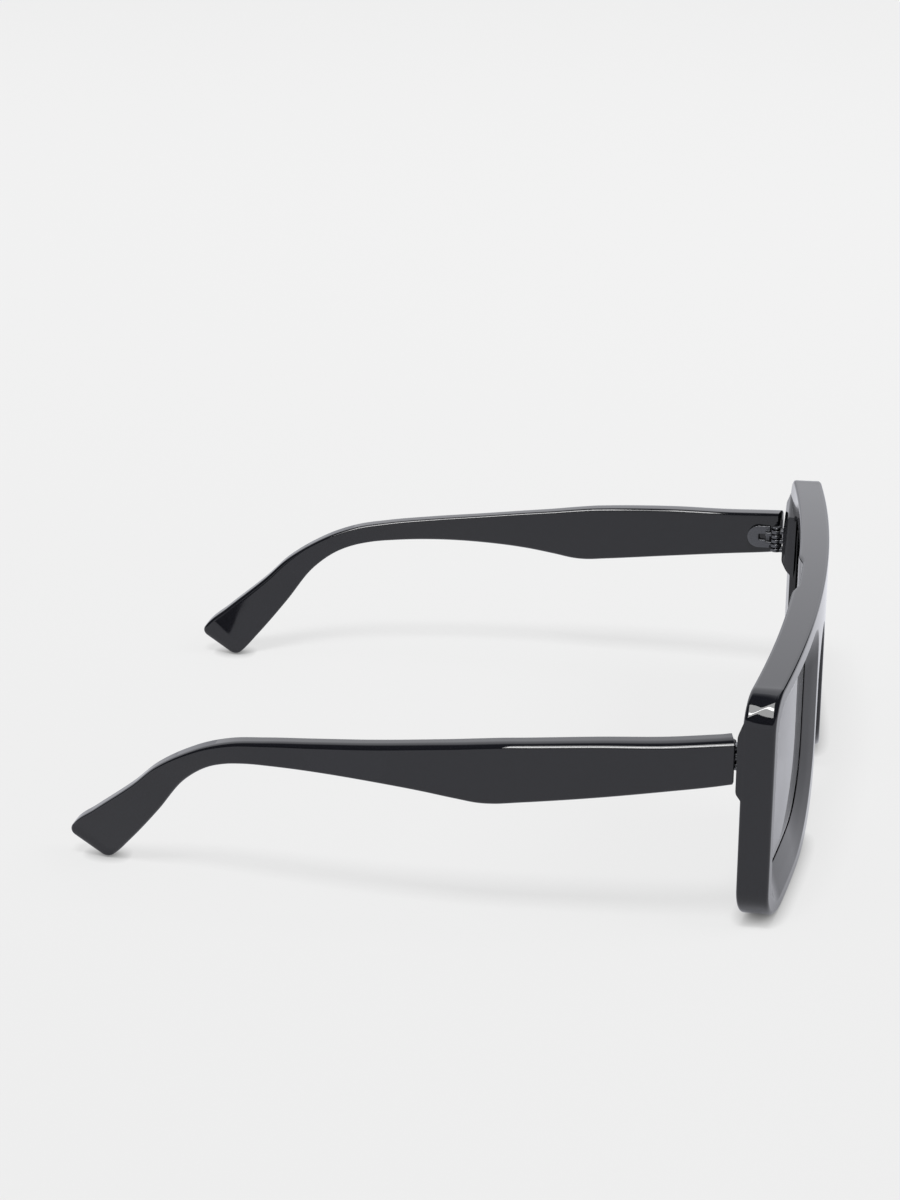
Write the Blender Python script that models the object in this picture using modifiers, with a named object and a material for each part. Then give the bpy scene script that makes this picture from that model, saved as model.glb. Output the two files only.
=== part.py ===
"""Sunglasses with a flat-topped black front and folding temples.

Units are metres, +Z is up, -Y is the way the wearer looks and -X is the wearer's right.
The origin is on the floor, in the middle of the open glasses, which stand on the two rims
and on the two temple tips. Each temple turns on its own hinge pin, near the front's lug.
"""

import math

import bmesh
import bpy
from mathutils import Matrix, Vector

# Front: overall shape, seen from the front
FRONT_WIDTH = 0.1345
FRONT_HEIGHT = 0.0507
FRONT_CROWN = 0.0012
FRONT_THICK = 0.0063
FRONT_RADIUS = 0.416
TOP_CORNER = (0.0085, 0.0085)
LOW_CORNER = (0.0140, 0.0093)
EDGE_ROUND = 0.0007
NOSE_HALF = 0.0105
NOSE_NECK_INSET = 0.0010
NOSE_ARCH_HEIGHT = 0.0100
BRIDGE_HEIGHT = 0.0117
SWEEP_HALF = 0.0355
SWEEP_RISE = 0.0128
NOTCH_HALF = 0.0080
NOTCH_RAMP = 0.0015
NOTCH_DEPTH = 0.0010

# Lens apertures: the rim's widths round the front one, and the smaller one at its back
RIM_NASAL = 0.0080
RIM_OUTER = 0.00345
RIM_LOW = 0.0088
RIM_BROW = 0.0044
APERTURE_TOP_OUT = (0.0060, 0.0060)
APERTURE_LOW_OUT = (0.0100, 0.0100)
APERTURE_LOW_IN = (0.0172, 0.0130)
APERTURE_TOP_IN = (0.0120, 0.0103)
BACK_INSET = 0.0008
BACK_RIM_OUTER = 0.00645
BACK_TOP_OUT = (0.0150, 0.0130)

# The wide bevel that runs from the rim's crest down to the front aperture
BEVEL_DEPTH = 0.0019
WALL_DRAFT = 0.0003
CREST_NASAL_OVERLAP = 0.0005
CREST_RIM_OUTER = 0.00285
CREST_LOW = 0.0028
CREST_BROW = 0.0040
CREST_TOP_OUT = (0.0064, 0.0064)
CREST_LOW_OUT = (0.0090, 0.0090)
CREST_LOW_IN = (0.0280, 0.0170)
CREST_TOP_IN = (0.0090, 0.0090)

# Lenses, and the groove that holds them
LENS_RECESS = 0.0031
LENS_THICK = 0.0016
LENS_LIP = 0.0008

# Nose pads bonded behind the nasal rims
PAD_FROM_NOSE = 0.0043
PAD_DROP = 0.0050
PAD_WIDTH = 0.0066
PAD_HEIGHT = 0.0190
PAD_DEPTH = 0.0030
PAD_TILT = math.radians(-8.0)

# Lugs, the front's end pieces that carry the hinges
LUG_WIDTH = 0.00895
LUG_STAND = 0.00083
LUG_BACK = 0.0011
LUG_ROOT = 0.0026
LUG_INSET = 0.0001
LUG_BELOW = 0.0051
LUG_ABOVE = 0.0079
LUG_INNER_BELOW = 0.0035
LUG_INNER_ABOVE = 0.0039
LUG_LOW_RAMP = 0.0010
LUG_HIGH_RAMP = 0.0020

# Hinges: five knuckles, three on the front leaf and two on the temple leaf
KNUCKLE_RADIUS = 0.0013
KNUCKLE_HEIGHT = 0.0008
PIN_RADIUS = 0.0005
PIN_HEAD_RADIUS = 0.0010
PIN_HEAD_HEIGHT = 0.0005
PIN_TAIL = 0.0003
HINGE_DROP = 0.0156
LEAF_THICK = 0.0008
FRONT_LEAF_WIDTH = 0.0034
TEMPLE_LEAF_LENGTH = 0.0052
LEAF_WINDOW_LENGTH = 0.0017
LEAF_WINDOW_HEIGHT = 0.0015
LEAF_WINDOW_SETBACK = 0.0009
PEG_RADIUS = 0.0005
PEG_LENGTH = 0.0008
WEB_THICK = 0.0010

# Temples: side profile, thickness and the way they bow out and curl in
TEMPLE_REACH = 0.1370
TEMPLE_ABOVE = 0.0058
TEMPLE_INSET = 0.00035
TEMPLE_THICK = 0.0045
TEMPLE_THIN = 0.0035
TEMPLE_SPLAY = 0.0179
TEMPLE_CURL = 0.0233
TEMPLE_TIP_CURL = 0.0063
TEMPLE_ROUND = 0.0007
TEMPLE_TOP_ROUND = 0.0014
TEMPLE_MITRE = 0.0010
END_GAP = 0.0004

# Clearances and overruns
GAP = 0.0003
OVERRUN = 0.0010
STRIP_WIDTH = 0.0045
WELD = 0.00001

# Each temple station: top edge (along, up), lower edge (along, up), thickness and lean.
# Along is a share of TEMPLE_REACH, up a share of TEMPLE_TOP, and thickness goes from
# TEMPLE_THIN at 0 to TEMPLE_THICK at 1. Lean, in degrees, tips the top edge inward.
TEMPLE_STATION_SHARES = (
    (0.000, 1.000, 0.000, 0.773, 1.00, 0.0),
    (0.030, 0.992, 0.030, 0.756, 0.98, 0.0),
    (0.090, 0.976, 0.090, 0.727, 0.90, 0.0),
    (0.191, 0.962, 0.191, 0.678, 0.75, 0.0),
    (0.302, 0.936, 0.302, 0.628, 0.50, 0.0),
    (0.327, 0.929, 0.334, 0.615, 0.42, 1.0),
    (0.357, 0.917, 0.359, 0.615, 0.32, 3.0),
    (0.392, 0.902, 0.392, 0.631, 0.20, 6.0),
    (0.442, 0.883, 0.442, 0.655, 0.05, 9.0),
    (0.513, 0.856, 0.513, 0.677, 0.00, 12.0),
    (0.603, 0.826, 0.598, 0.689, 0.00, 13.0),
    (0.678, 0.798, 0.663, 0.685, 0.05, 12.0),
    (0.733, 0.768, 0.708, 0.674, 0.15, 11.0),
    (0.770, 0.728, 0.738, 0.655, 0.25, 9.0),
    (0.807, 0.668, 0.768, 0.616, 0.30, 6.0),
    (0.848, 0.580, 0.806, 0.520, 0.30, 3.0),
    (0.889, 0.453, 0.849, 0.330, 0.25, 0.0),
    (0.955, 0.272, 0.900, 0.122, 0.25, 0.0),
    (0.988, 0.180, 0.925, 0.030, 0.22, 0.0),
    (1.000, 0.122, 0.936, 0.000, 0.10, 0.0),
)

CORNER_STEPS = 6
BROW_STEPS = 6
ARCH_STEPS = 8
SWEEP_STEPS = 9
ROUND_STEPS = 3
TURN_STEPS = 24
KNUCKLES = 5
NEAR_END_SHARE = 0.02
SIDES = {"right": -1, "left": 1}

# Places worked out from the sizes above
FRONT_HALF = FRONT_WIDTH / 2
NOSE_APEX_Z = FRONT_HEIGHT - BRIDGE_HEIGHT
NOSE_SPRING_Z = NOSE_APEX_Z - NOSE_ARCH_HEIGHT
NOSE_NECK_HALF = NOSE_HALF - NOSE_NECK_INSET
APERTURE_INNER = NOSE_HALF + RIM_NASAL
APERTURE_OUTER = FRONT_HALF - RIM_OUTER
APERTURE_HIGH = FRONT_HEIGHT - RIM_BROW
BACK_OUTER = FRONT_HALF - BACK_RIM_OUTER
CREST_INNER = NOSE_HALF - CREST_NASAL_OVERLAP
CREST_OUTER = FRONT_HALF - CREST_RIM_OUTER
CREST_HIGH = FRONT_HEIGHT - CREST_BROW
PAD_X = NOSE_HALF + PAD_FROM_NOSE
PAD_Z = NOSE_SPRING_Z - PAD_DROP
HINGE_Z = FRONT_HEIGHT - HINGE_DROP
TEMPLE_TOP = HINGE_Z + TEMPLE_ABOVE
TEMPLE_HALF = FRONT_HALF - TEMPLE_INSET
FRONT_SAG = FRONT_RADIUS - math.sqrt(FRONT_RADIUS ** 2 - FRONT_HALF ** 2)
FRONT_AHEAD = FRONT_SAG + FRONT_THICK + LUG_STAND + END_GAP
MIDDLE_Y = (TEMPLE_REACH - FRONT_AHEAD) / 2
FACE_Y = -FRONT_AHEAD - MIDDLE_Y
TEMPLE_END_Y = -MIDDLE_Y
LUG_FACE_Y = TEMPLE_END_Y - END_GAP
TEMPLE_INNER = TEMPLE_HALF - TEMPLE_THICK
PIVOT_X = TEMPLE_INNER - GAP - KNUCKLE_RADIUS
PIVOT_Y = LUG_FACE_Y + GAP + KNUCKLE_RADIUS
LENS_BACK = LENS_RECESS + LENS_THICK
POCKET_MIDDLE = LENS_RECESS + LENS_THICK / 2
KNUCKLE_PITCH = KNUCKLE_HEIGHT + GAP
HINGE_HEIGHT = KNUCKLES * KNUCKLE_HEIGHT + (KNUCKLES - 1) * GAP
HINGE_LOW = HINGE_Z - HINGE_HEIGHT / 2

PLASTIC = ("black_gloss_plastic", (0.012, 0.012, 0.014, 1.0), 0.08, 0.0)
LENS = ("smoke_lens", (0.05, 0.05, 0.055, 1.0), 0.05, 0.0)
METAL = ("nickel_silver", (0.42, 0.43, 0.44, 1.0), 0.30, 1.0)


def clear_scene():
    """Remove what the file held before."""
    for thing in list(bpy.data.objects):
        bpy.data.objects.remove(thing, do_unlink=True)


def collection(name):
    """Make a collection under the scene's own."""
    group = bpy.data.collections.new(name)
    bpy.context.scene.collection.children.link(group)
    return group


def material(recipe):
    """Return a Principled BSDF material for one piece."""
    name, colour, roughness, metallic = recipe
    result = bpy.data.materials.new(name)
    result.use_nodes = True
    shader = result.node_tree.nodes["Principled BSDF"]
    shader.inputs["Base Color"].default_value = colour
    shader.inputs["Roughness"].default_value = roughness
    shader.inputs["Metallic"].default_value = metallic
    return result


def new_object(name, mesh, group):
    """Put a mesh in the scene as an object of the given collection."""
    thing = bpy.data.objects.new(name, mesh)
    group.objects.link(thing)
    return thing


def to_mesh(bm, name):
    """Turn a bmesh into mesh data with its faces pointing out."""
    bmesh.ops.recalc_face_normals(bm, faces=bm.faces)
    mesh = bpy.data.meshes.new(name)
    bm.to_mesh(mesh)
    bm.free()
    return mesh


def baked(thing):
    """Return a plain mesh of an object as its modifiers leave it."""
    bpy.context.view_layer.update()
    graph = bpy.context.evaluated_depsgraph_get()
    return bpy.data.meshes.new_from_object(thing.evaluated_get(graph))


def sag(x):
    """How far the curved front falls back at a distance x from its middle."""
    return FRONT_RADIUS - math.sqrt(FRONT_RADIUS ** 2 - x ** 2)


def brow_height(x):
    """Height of the slightly crowned top edge at a distance x from the middle."""
    return FRONT_HEIGHT - FRONT_CROWN * (x / FRONT_HALF) ** 2


def quarter(centre, reach, start, steps):
    """Points on a quarter ellipse that turns clockwise from a start angle in degrees."""
    points = []
    for step in range(steps + 1):
        angle = math.radians(start - 90.0 * step / steps)
        points.append((centre[0] + reach[0] * math.cos(angle),
                       centre[1] + reach[1] * math.sin(angle)))
    return points


def front_outline():
    """Outer outline of the front, as (x, z) points."""
    brow = FRONT_HALF - TOP_CORNER[0]
    points = [(brow * step / BROW_STEPS, brow_height(brow * step / BROW_STEPS))
              for step in range(BROW_STEPS)]
    points += quarter((brow, brow_height(brow) - TOP_CORNER[1]), TOP_CORNER, 90.0, CORNER_STEPS)
    low_centre = (FRONT_HALF - LOW_CORNER[0], LOW_CORNER[1])
    points += quarter(low_centre, LOW_CORNER, 0.0, CORNER_STEPS)
    points += quarter((SWEEP_HALF, SWEEP_RISE), (SWEEP_HALF - NOSE_HALF, SWEEP_RISE),
                      -90.0, SWEEP_STEPS)
    arch = quarter((0.0, NOSE_SPRING_Z), (NOSE_NECK_HALF, NOSE_APEX_Z - NOSE_SPRING_Z),
                   90.0, ARCH_STEPS)
    points += list(reversed(arch))
    mirrored = [(-x, z) for x, z in reversed(points[1:-1])]
    return points + mirrored


def window_outline(inner, outer, low, high, corners, grow=0.0):
    """Outline of a lens opening on the +X side, grown outward all round by grow."""
    top_out, low_out, low_in, top_in = [(rx + grow, rz + grow) for rx, rz in corners]
    inner, outer, low, high = inner - grow, outer + grow, low - grow, high + grow
    points = quarter((outer - top_out[0], high - top_out[1]), top_out, 90.0, CORNER_STEPS)
    points += quarter((outer - low_out[0], low + low_out[1]), low_out, 0.0, CORNER_STEPS)
    points += quarter((inner + low_in[0], low + low_in[1]), low_in, -90.0, CORNER_STEPS)
    points += quarter((inner + top_in[0], high - top_in[1]), top_in, 180.0, CORNER_STEPS)
    return points


def aperture_outline(grow=0.0):
    """Outline of the front aperture, which the lens and its groove follow."""
    corners = (APERTURE_TOP_OUT, APERTURE_LOW_OUT, APERTURE_LOW_IN, APERTURE_TOP_IN)
    return window_outline(APERTURE_INNER, APERTURE_OUTER, RIM_LOW, APERTURE_HIGH,
                          corners, grow)


def back_outline():
    """Outline of the smaller aperture behind the lens, cut back for the lug."""
    corners = (BACK_TOP_OUT, APERTURE_LOW_OUT, APERTURE_LOW_IN, APERTURE_TOP_IN)
    return window_outline(APERTURE_INNER + BACK_INSET, BACK_OUTER, RIM_LOW + BACK_INSET,
                          APERTURE_HIGH - BACK_INSET, corners)


def crest_outline():
    """Outline where the wide bevel leaves the rim's front face."""
    corners = (CREST_TOP_OUT, CREST_LOW_OUT, CREST_LOW_IN, CREST_TOP_IN)
    return window_outline(CREST_INNER, CREST_OUTER, CREST_LOW, CREST_HIGH, corners)


def plate(name, points, near, far, group):
    """Extrude a front-view outline of (x, z) points from depth near to depth far."""
    curve = bpy.data.curves.new(name, "CURVE")
    curve.dimensions = "2D"
    curve.fill_mode = "BOTH"
    curve.extrude = (far - near) / 2
    spline = curve.splines.new("POLY")
    spline.points.add(len(points) - 1)
    for spot, (x, z) in zip(spline.points, points):
        spot.co = (x, z, 0.0, 1.0)
    spline.use_cyclic_u = True
    drawn = new_object(name + "_curve", curve, group)
    mesh = baked(drawn)
    bpy.data.objects.remove(drawn, do_unlink=True)
    upright = Matrix.Rotation(math.pi / 2, 4, "X")
    mesh.transform(Matrix.Translation((0.0, (near + far) / 2, 0.0)) @ upright)
    bm = bmesh.new()
    bm.from_mesh(mesh)
    bmesh.ops.remove_doubles(bm, verts=bm.verts, dist=WELD)
    return new_object(name, to_mesh(bm, name), group)


def box(name, low, high, group):
    """A box between two corners."""
    bm = bmesh.new()
    bmesh.ops.create_cube(bm, size=1.0)
    size = Vector(high) - Vector(low)
    middle = (Vector(high) + Vector(low)) / 2
    place = Matrix.Translation(middle) @ Matrix.Diagonal(size.to_4d())
    bmesh.ops.transform(bm, verts=bm.verts, matrix=place)
    return new_object(name, to_mesh(bm, name), group)


def rod(name, radius, start, end, group):
    """A round rod between two points."""
    start, end = Vector(start), Vector(end)
    along = end - start
    bm = bmesh.new()
    bmesh.ops.create_cone(bm, cap_ends=True, segments=TURN_STEPS, radius1=radius, radius2=radius,
                          depth=along.length)
    turn = along.to_track_quat("Z", "Y").to_matrix().to_4x4()
    bmesh.ops.transform(bm, verts=bm.verts, matrix=Matrix.Translation((start + end) / 2) @ turn)
    return new_object(name, to_mesh(bm, name), group)


def lofted(name, rings, group):
    """Skin rings that have the same number of points, and cap both ends."""
    bm = bmesh.new()
    rows = [[bm.verts.new(point) for point in ring] for ring in rings]
    count = len(rows[0])
    for row, after in zip(rows, rows[1:]):
        for spot in range(count):
            beside = (spot + 1) % count
            bm.faces.new((row[spot], row[beside], after[beside], after[spot]))
    bm.faces.new(rows[0])
    bm.faces.new(list(reversed(rows[-1])))
    return new_object(name, to_mesh(bm, name), group)


def combine(target, tool, operation, cutters):
    """Cut a tool from the target, or join it to it, with an exact Boolean."""
    for holder in list(tool.users_collection):
        holder.objects.unlink(tool)
    cutters.objects.link(tool)
    tool.hide_render = True
    tool.display_type = "WIRE"
    change = target.modifiers.new(tool.name, "BOOLEAN")
    change.operation = operation
    change.solver = "EXACT"
    change.object = tool


def settle(thing):
    """Replace an object's mesh by what its modifiers make of it."""
    mesh = baked(thing)
    thing.modifiers.clear()
    thing.data = mesh


def curve_front(thing):
    """Cut a flat piece of the front into upright strips and set it to the front's curve."""
    bm = bmesh.new()
    bm.from_mesh(thing.data)
    reach = max(abs(vert.co.x) for vert in bm.verts)
    strips = int(reach / STRIP_WIDTH)
    for index in range(-strips, strips + 1):
        bmesh.ops.bisect_plane(bm, geom=bm.verts[:] + bm.edges[:] + bm.faces[:], dist=WELD,
                               plane_co=(index * STRIP_WIDTH, 0.0, 0.0), plane_no=(1.0, 0.0, 0.0))
    bmesh.ops.triangulate(bm, faces=[face for face in bm.faces if len(face.verts) > 4])
    for vert in bm.verts:
        vert.co.y += sag(vert.co.x) + FACE_Y
    thing.data = to_mesh(bm, thing.name)


def mirrored_points(points, side):
    """Put +X points on the given side."""
    return [(side * x, z) for x, z in points]


def finish(thing, recipe, smooth_angle=math.radians(35.0)):
    """Give a piece its material and shading."""
    thing.data.materials.clear()
    thing.data.materials.append(material(recipe))
    thing.data.shade_smooth()
    thing.data.set_sharp_from_angle(angle=smooth_angle)


def round_edges(thing, width, angle=math.radians(40.0)):
    """Round a piece's sharp edges."""
    change = thing.modifiers.new("edge_round", "BEVEL")
    change.width = width
    change.segments = 2
    change.limit_method = "ANGLE"
    change.angle_limit = angle


def bevel_cutter(side, cutters):
    """Tool that opens the front aperture and its wide bevel in one cut."""
    crest = mirrored_points(crest_outline(), side)
    edge = mirrored_points(aperture_outline(), side)
    beyond = OVERRUN / BEVEL_DEPTH
    ahead = [(cx + (cx - ex) * beyond, -OVERRUN, cz + (cz - ez) * beyond)
             for (cx, cz), (ex, ez) in zip(crest, edge)]
    floor = [(x, BEVEL_DEPTH, z) for x, z in edge]
    narrowed = mirrored_points(aperture_outline(-WALL_DRAFT), side)
    inside = [(x, POCKET_MIDDLE, z) for x, z in narrowed]
    return lofted("bevel_cutter", [ahead, floor, inside], cutters)


def lug(side, group):
    """End piece behind the rim's outer edge, in the front's true place."""
    root = LUG_FACE_Y - LUG_ROOT
    rim_back = LUG_FACE_Y - LUG_BACK
    ends = ((FRONT_HALF - LUG_WIDTH, HINGE_Z - LUG_INNER_BELOW, HINGE_Z + LUG_INNER_ABOVE),
            (FRONT_HALF - LUG_INSET, HINGE_Z - LUG_BELOW, HINGE_Z + LUG_ABOVE))
    rings = []
    for x, low, high in ends:
        profile = [(root, low - LUG_LOW_RAMP), (rim_back, low - LUG_LOW_RAMP),
                   (LUG_FACE_Y, low), (LUG_FACE_Y, high),
                   (rim_back, high + LUG_HIGH_RAMP), (root, high + LUG_HIGH_RAMP)]
        rings.append([(side * x, y, z) for y, z in profile])
    return lofted("lug_block", rings, group)


def leaf_front_tool(side, grow, group, cutters):
    """Solid of the front leaf's plate and pegs, grown for its recess in the lug."""
    centre = side * PIVOT_X
    width = FRONT_LEAF_WIDTH / 2 + grow
    low = (centre - width, LUG_FACE_Y - LEAF_THICK - grow, HINGE_LOW - grow)
    high = (centre + width, LUG_FACE_Y + (OVERRUN if grow else 0.0), HINGE_LOW + HINGE_HEIGHT + grow)
    tool = box("front_leaf_plate", low, high, group)
    for level in (-1, 1):
        height = HINGE_Z + level * HINGE_HEIGHT / 4
        start = (centre, LUG_FACE_Y - LEAF_THICK / 2, height)
        end = (centre, LUG_FACE_Y - LEAF_THICK - PEG_LENGTH - grow, height)
        combine(tool, rod("front_peg", PEG_RADIUS + grow, start, end, cutters), "UNION", cutters)
    settle(tool)
    return tool


def leaf_temple_outline(grow):
    """Side outline of the temple leaf as (y, z) points: square in front, round behind."""
    front = PIVOT_Y + KNUCKLE_RADIUS + GAP
    back = front + TEMPLE_LEAF_LENGTH + grow
    reach = HINGE_HEIGHT / 2 + grow
    points = [(front - (OVERRUN * 3 if grow else 0.0), HINGE_Z - reach)]
    for step in range(CORNER_STEPS * 2 + 1):
        angle = -math.pi / 2 + math.pi * step / (CORNER_STEPS * 2)
        points.append((back - reach + reach * math.cos(angle), HINGE_Z + reach * math.sin(angle)))
    points.append((front - (OVERRUN * 3 if grow else 0.0), HINGE_Z + reach))
    return points


def leaf_temple_tool(side, grow, group, cutters):
    """Solid of the temple leaf's plate and pegs, grown for its recess in the temple."""
    near = TEMPLE_INNER - (OVERRUN if grow else 0.0)
    far = TEMPLE_INNER + LEAF_THICK + grow
    rings = [[(side * x, y, z) for y, z in leaf_temple_outline(grow)] for x in (near, far)]
    tool = lofted("temple_leaf_plate", rings, group)
    back = PIVOT_Y + KNUCKLE_RADIUS + GAP + TEMPLE_LEAF_LENGTH
    for level in (-1, 1):
        height = HINGE_Z + level * HINGE_HEIGHT / 5
        along = back - TEMPLE_LEAF_LENGTH / 4
        start = (side * (TEMPLE_INNER + LEAF_THICK / 2), along, height)
        end = (side * (TEMPLE_INNER + LEAF_THICK + PEG_LENGTH + grow), along, height)
        combine(tool, rod("temple_peg", PEG_RADIUS + grow, start, end, cutters), "UNION", cutters)
    settle(tool)
    return tool


def make_front(group, cutters):
    """The front: rims, bridge, brow and lugs in one moulding."""
    front = plate("front_frame", front_outline(), 0.0, FRONT_THICK, group)
    round_edges(front, EDGE_ROUND)
    for side in SIDES.values():
        combine(front, bevel_cutter(side, cutters), "DIFFERENCE", cutters)
        groove = plate("groove_cutter", mirrored_points(aperture_outline(LENS_LIP + GAP), side),
                       LENS_RECESS - GAP, LENS_BACK + GAP, cutters)
        combine(front, groove, "DIFFERENCE", cutters)
        opening = plate("back_cutter", mirrored_points(back_outline(), side),
                        POCKET_MIDDLE, FRONT_THICK + OVERRUN, cutters)
        combine(front, opening, "DIFFERENCE", cutters)
    combine(front, notch_cutter(cutters), "DIFFERENCE", cutters)
    settle(front)
    curve_front(front)
    for side in SIDES.values():
        combine(front, lug(side, cutters), "UNION", cutters)
        combine(front, leaf_front_tool(side, GAP, cutters, cutters), "DIFFERENCE", cutters)
    settle(front)
    finish(front, PLASTIC)
    return front


def notch_cutter(cutters):
    """Tool for the shallow notch at the middle of the bridge's back."""
    floor = FRONT_THICK - NOTCH_DEPTH
    above = FRONT_THICK + OVERRUN
    ramp = NOTCH_RAMP * (OVERRUN + NOTCH_DEPTH) / NOTCH_DEPTH
    profile = [(-NOTCH_HALF, floor), (NOTCH_HALF, floor),
               (NOTCH_HALF + ramp, above), (-NOTCH_HALF - ramp, above)]
    rings = [[(x, y, z) for x, y in profile]
             for z in (NOSE_SPRING_Z, FRONT_HEIGHT + OVERRUN)]
    return lofted("notch_cutter", rings, cutters)


def make_lens(label, side, group):
    """A tinted lens, held in the rim's groove all the way round."""
    outline = mirrored_points(aperture_outline(LENS_LIP), side)
    lens = plate("lens_" + label, outline, LENS_RECESS, LENS_BACK, group)
    curve_front(lens)
    finish(lens, LENS)
    return lens


def make_pad(label, side, group):
    """A nose pad bonded to the back of the nasal rim."""
    bm = bmesh.new()
    bmesh.ops.create_uvsphere(bm, u_segments=TURN_STEPS, v_segments=TURN_STEPS // 2, radius=0.5)
    shape = Matrix.Diagonal((PAD_WIDTH, 2 * PAD_DEPTH, PAD_HEIGHT, 1.0))
    turn = Matrix.Rotation(side * PAD_TILT, 4, "Y")
    seat = FRONT_THICK + GAP
    place = Matrix.Translation((side * PAD_X, seat, PAD_Z))
    bmesh.ops.transform(bm, verts=bm.verts, matrix=place @ turn @ shape)
    cut = bmesh.ops.bisect_plane(bm, geom=bm.verts[:] + bm.edges[:] + bm.faces[:], dist=WELD,
                                 plane_co=(0.0, seat, 0.0), plane_no=(0.0, -1.0, 0.0),
                                 clear_outer=True)
    rim = [item for item in cut["geom_cut"] if isinstance(item, bmesh.types.BMEdge)]
    bmesh.ops.contextual_create(bm, geom=rim)
    pad = new_object("nose_pad_" + label, to_mesh(bm, "nose_pad_" + label), group)
    curve_front(pad)
    finish(pad, PLASTIC)
    return pad


def temple_half(along):
    """Half the distance between the temples' outer faces, at a share along them."""
    return (TEMPLE_HALF + TEMPLE_SPLAY * along - TEMPLE_CURL * along ** 2
            - TEMPLE_TIP_CURL * along ** 3)


def temple_section(station):
    """Ring of points round one temple station on the +X side."""
    top_along, top_up, low_along, low_up, stout, lean = station
    thick = TEMPLE_THIN + (TEMPLE_THICK - TEMPLE_THIN) * stout
    top = Vector((0.0, TEMPLE_END_Y + top_along * TEMPLE_REACH, top_up * TEMPLE_TOP))
    low = Vector((0.0, TEMPLE_END_Y + low_along * TEMPLE_REACH, low_up * TEMPLE_TOP))
    drop = low - top
    height = drop.length
    mean = (top_along + low_along) / 2
    skew = math.tan(math.radians(lean))
    blend = max(0.0, 1.0 - top_along)
    rounds = (TEMPLE_ROUND, TEMPLE_ROUND + (TEMPLE_TOP_ROUND - TEMPLE_ROUND) * blend,
              TEMPLE_ROUND, TEMPLE_ROUND)
    corners = ((thick, 0.0), (0.0, 0.0), (0.0, height), (thick, height))
    inward = ((-1, 1), (1, 1), (1, -1), (-1, -1))
    starts = (0.0, 90.0, 180.0, 270.0)
    ring = []
    for (depth, fall), radius, (sx, sz), start in zip(corners, rounds, inward, starts):
        for step in range(ROUND_STEPS + 1):
            angle = math.radians(start + 90.0 * step / ROUND_STEPS)
            across = depth + sx * radius + radius * math.cos(angle)
            down = fall + sz * radius - radius * math.sin(angle)
            spot = top + drop * (down / height)
            lean_in = (height / 2 - down) * skew
            x = temple_half(mean) - across - lean_in
            spot.x = x
            spot.y += TEMPLE_MITRE * (across / thick) * max(0.0, 1.0 - top_along / NEAR_END_SHARE)
            ring.append(spot)
    return ring


def make_temple(label, side, group, cutters):
    """A temple, lofted through its stations and recessed for the hinge leaf."""
    rings = [[(side * spot.x, spot.y, spot.z) for spot in temple_section(station)]
             for station in TEMPLE_STATION_SHARES]
    temple = lofted("temple_" + label, rings, group)
    combine(temple, leaf_temple_tool(side, GAP, cutters, cutters), "DIFFERENCE", cutters)
    settle(temple)
    finish(temple, PLASTIC)
    return temple


def knuckle(side, index, on_temple, cutters):
    """One knuckle, with the web that ties it to its own leaf."""
    low = HINGE_LOW + index * KNUCKLE_PITCH
    high = low + KNUCKLE_HEIGHT
    barrel = rod("barrel", KNUCKLE_RADIUS, (side * PIVOT_X, PIVOT_Y, low),
                 (side * PIVOT_X, PIVOT_Y, high), cutters)
    if on_temple:
        near, far = side * (TEMPLE_INNER - GAP - WEB_THICK), side * (TEMPLE_INNER + LEAF_THICK / 2)
        corner = (min(near, far), PIVOT_Y, low)
        other = (max(near, far), PIVOT_Y + KNUCKLE_RADIUS + GAP + WEB_THICK, high)
    else:
        middle = side * PIVOT_X
        corner = (middle - WEB_THICK, LUG_FACE_Y - LEAF_THICK / 2, low)
        other = (middle + WEB_THICK, PIVOT_Y, high)
    combine(barrel, box("web", corner, other, cutters), "UNION", cutters)
    settle(barrel)
    return barrel


def make_leaf(label, side, on_temple, group, cutters):
    """One half of a hinge: plate, pegs and knuckles with the pin's bore."""
    shape = leaf_temple_tool if on_temple else leaf_front_tool
    leaf = shape(side, 0.0, group, cutters)
    leaf.name = ("temple_hinge_" if on_temple else "front_hinge_") + label
    if on_temple:
        front = PIVOT_Y + KNUCKLE_RADIUS + GAP + LEAF_WINDOW_SETBACK
        near, far = side * (TEMPLE_INNER - OVERRUN), side * (TEMPLE_INNER + LEAF_THICK + OVERRUN)
        low, high = HINGE_Z - LEAF_WINDOW_HEIGHT / 2, HINGE_Z + LEAF_WINDOW_HEIGHT / 2
        window = box("leaf_window", (min(near, far), front, low),
                     (max(near, far), front + LEAF_WINDOW_LENGTH, high), cutters)
        combine(leaf, window, "DIFFERENCE", cutters)
    for index in range(KNUCKLES):
        if (index % 2 == 1) == on_temple:
            combine(leaf, knuckle(side, index, on_temple, cutters), "UNION", cutters)
    bore = rod("pin_bore", PIN_RADIUS + GAP, (side * PIVOT_X, PIVOT_Y, HINGE_LOW - OVERRUN),
               (side * PIVOT_X, PIVOT_Y, HINGE_LOW + HINGE_HEIGHT + OVERRUN), cutters)
    combine(leaf, bore, "DIFFERENCE", cutters)
    settle(leaf)
    finish(leaf, METAL)
    return leaf


def make_screw(label, side, group, cutters):
    """The hinge screw: a plain shank with a low head on the top knuckle."""
    top = HINGE_LOW + HINGE_HEIGHT + GAP
    foot = HINGE_LOW - PIN_TAIL
    screw = rod("hinge_screw_" + label, PIN_RADIUS, (side * PIVOT_X, PIVOT_Y, foot),
                (side * PIVOT_X, PIVOT_Y, top + PIN_HEAD_HEIGHT / 2), group)
    head = rod("screw_head", PIN_HEAD_RADIUS, (side * PIVOT_X, PIVOT_Y, top),
               (side * PIVOT_X, PIVOT_Y, top + PIN_HEAD_HEIGHT), cutters)
    combine(screw, head, "UNION", cutters)
    settle(screw)
    finish(screw, METAL)
    return screw


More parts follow.
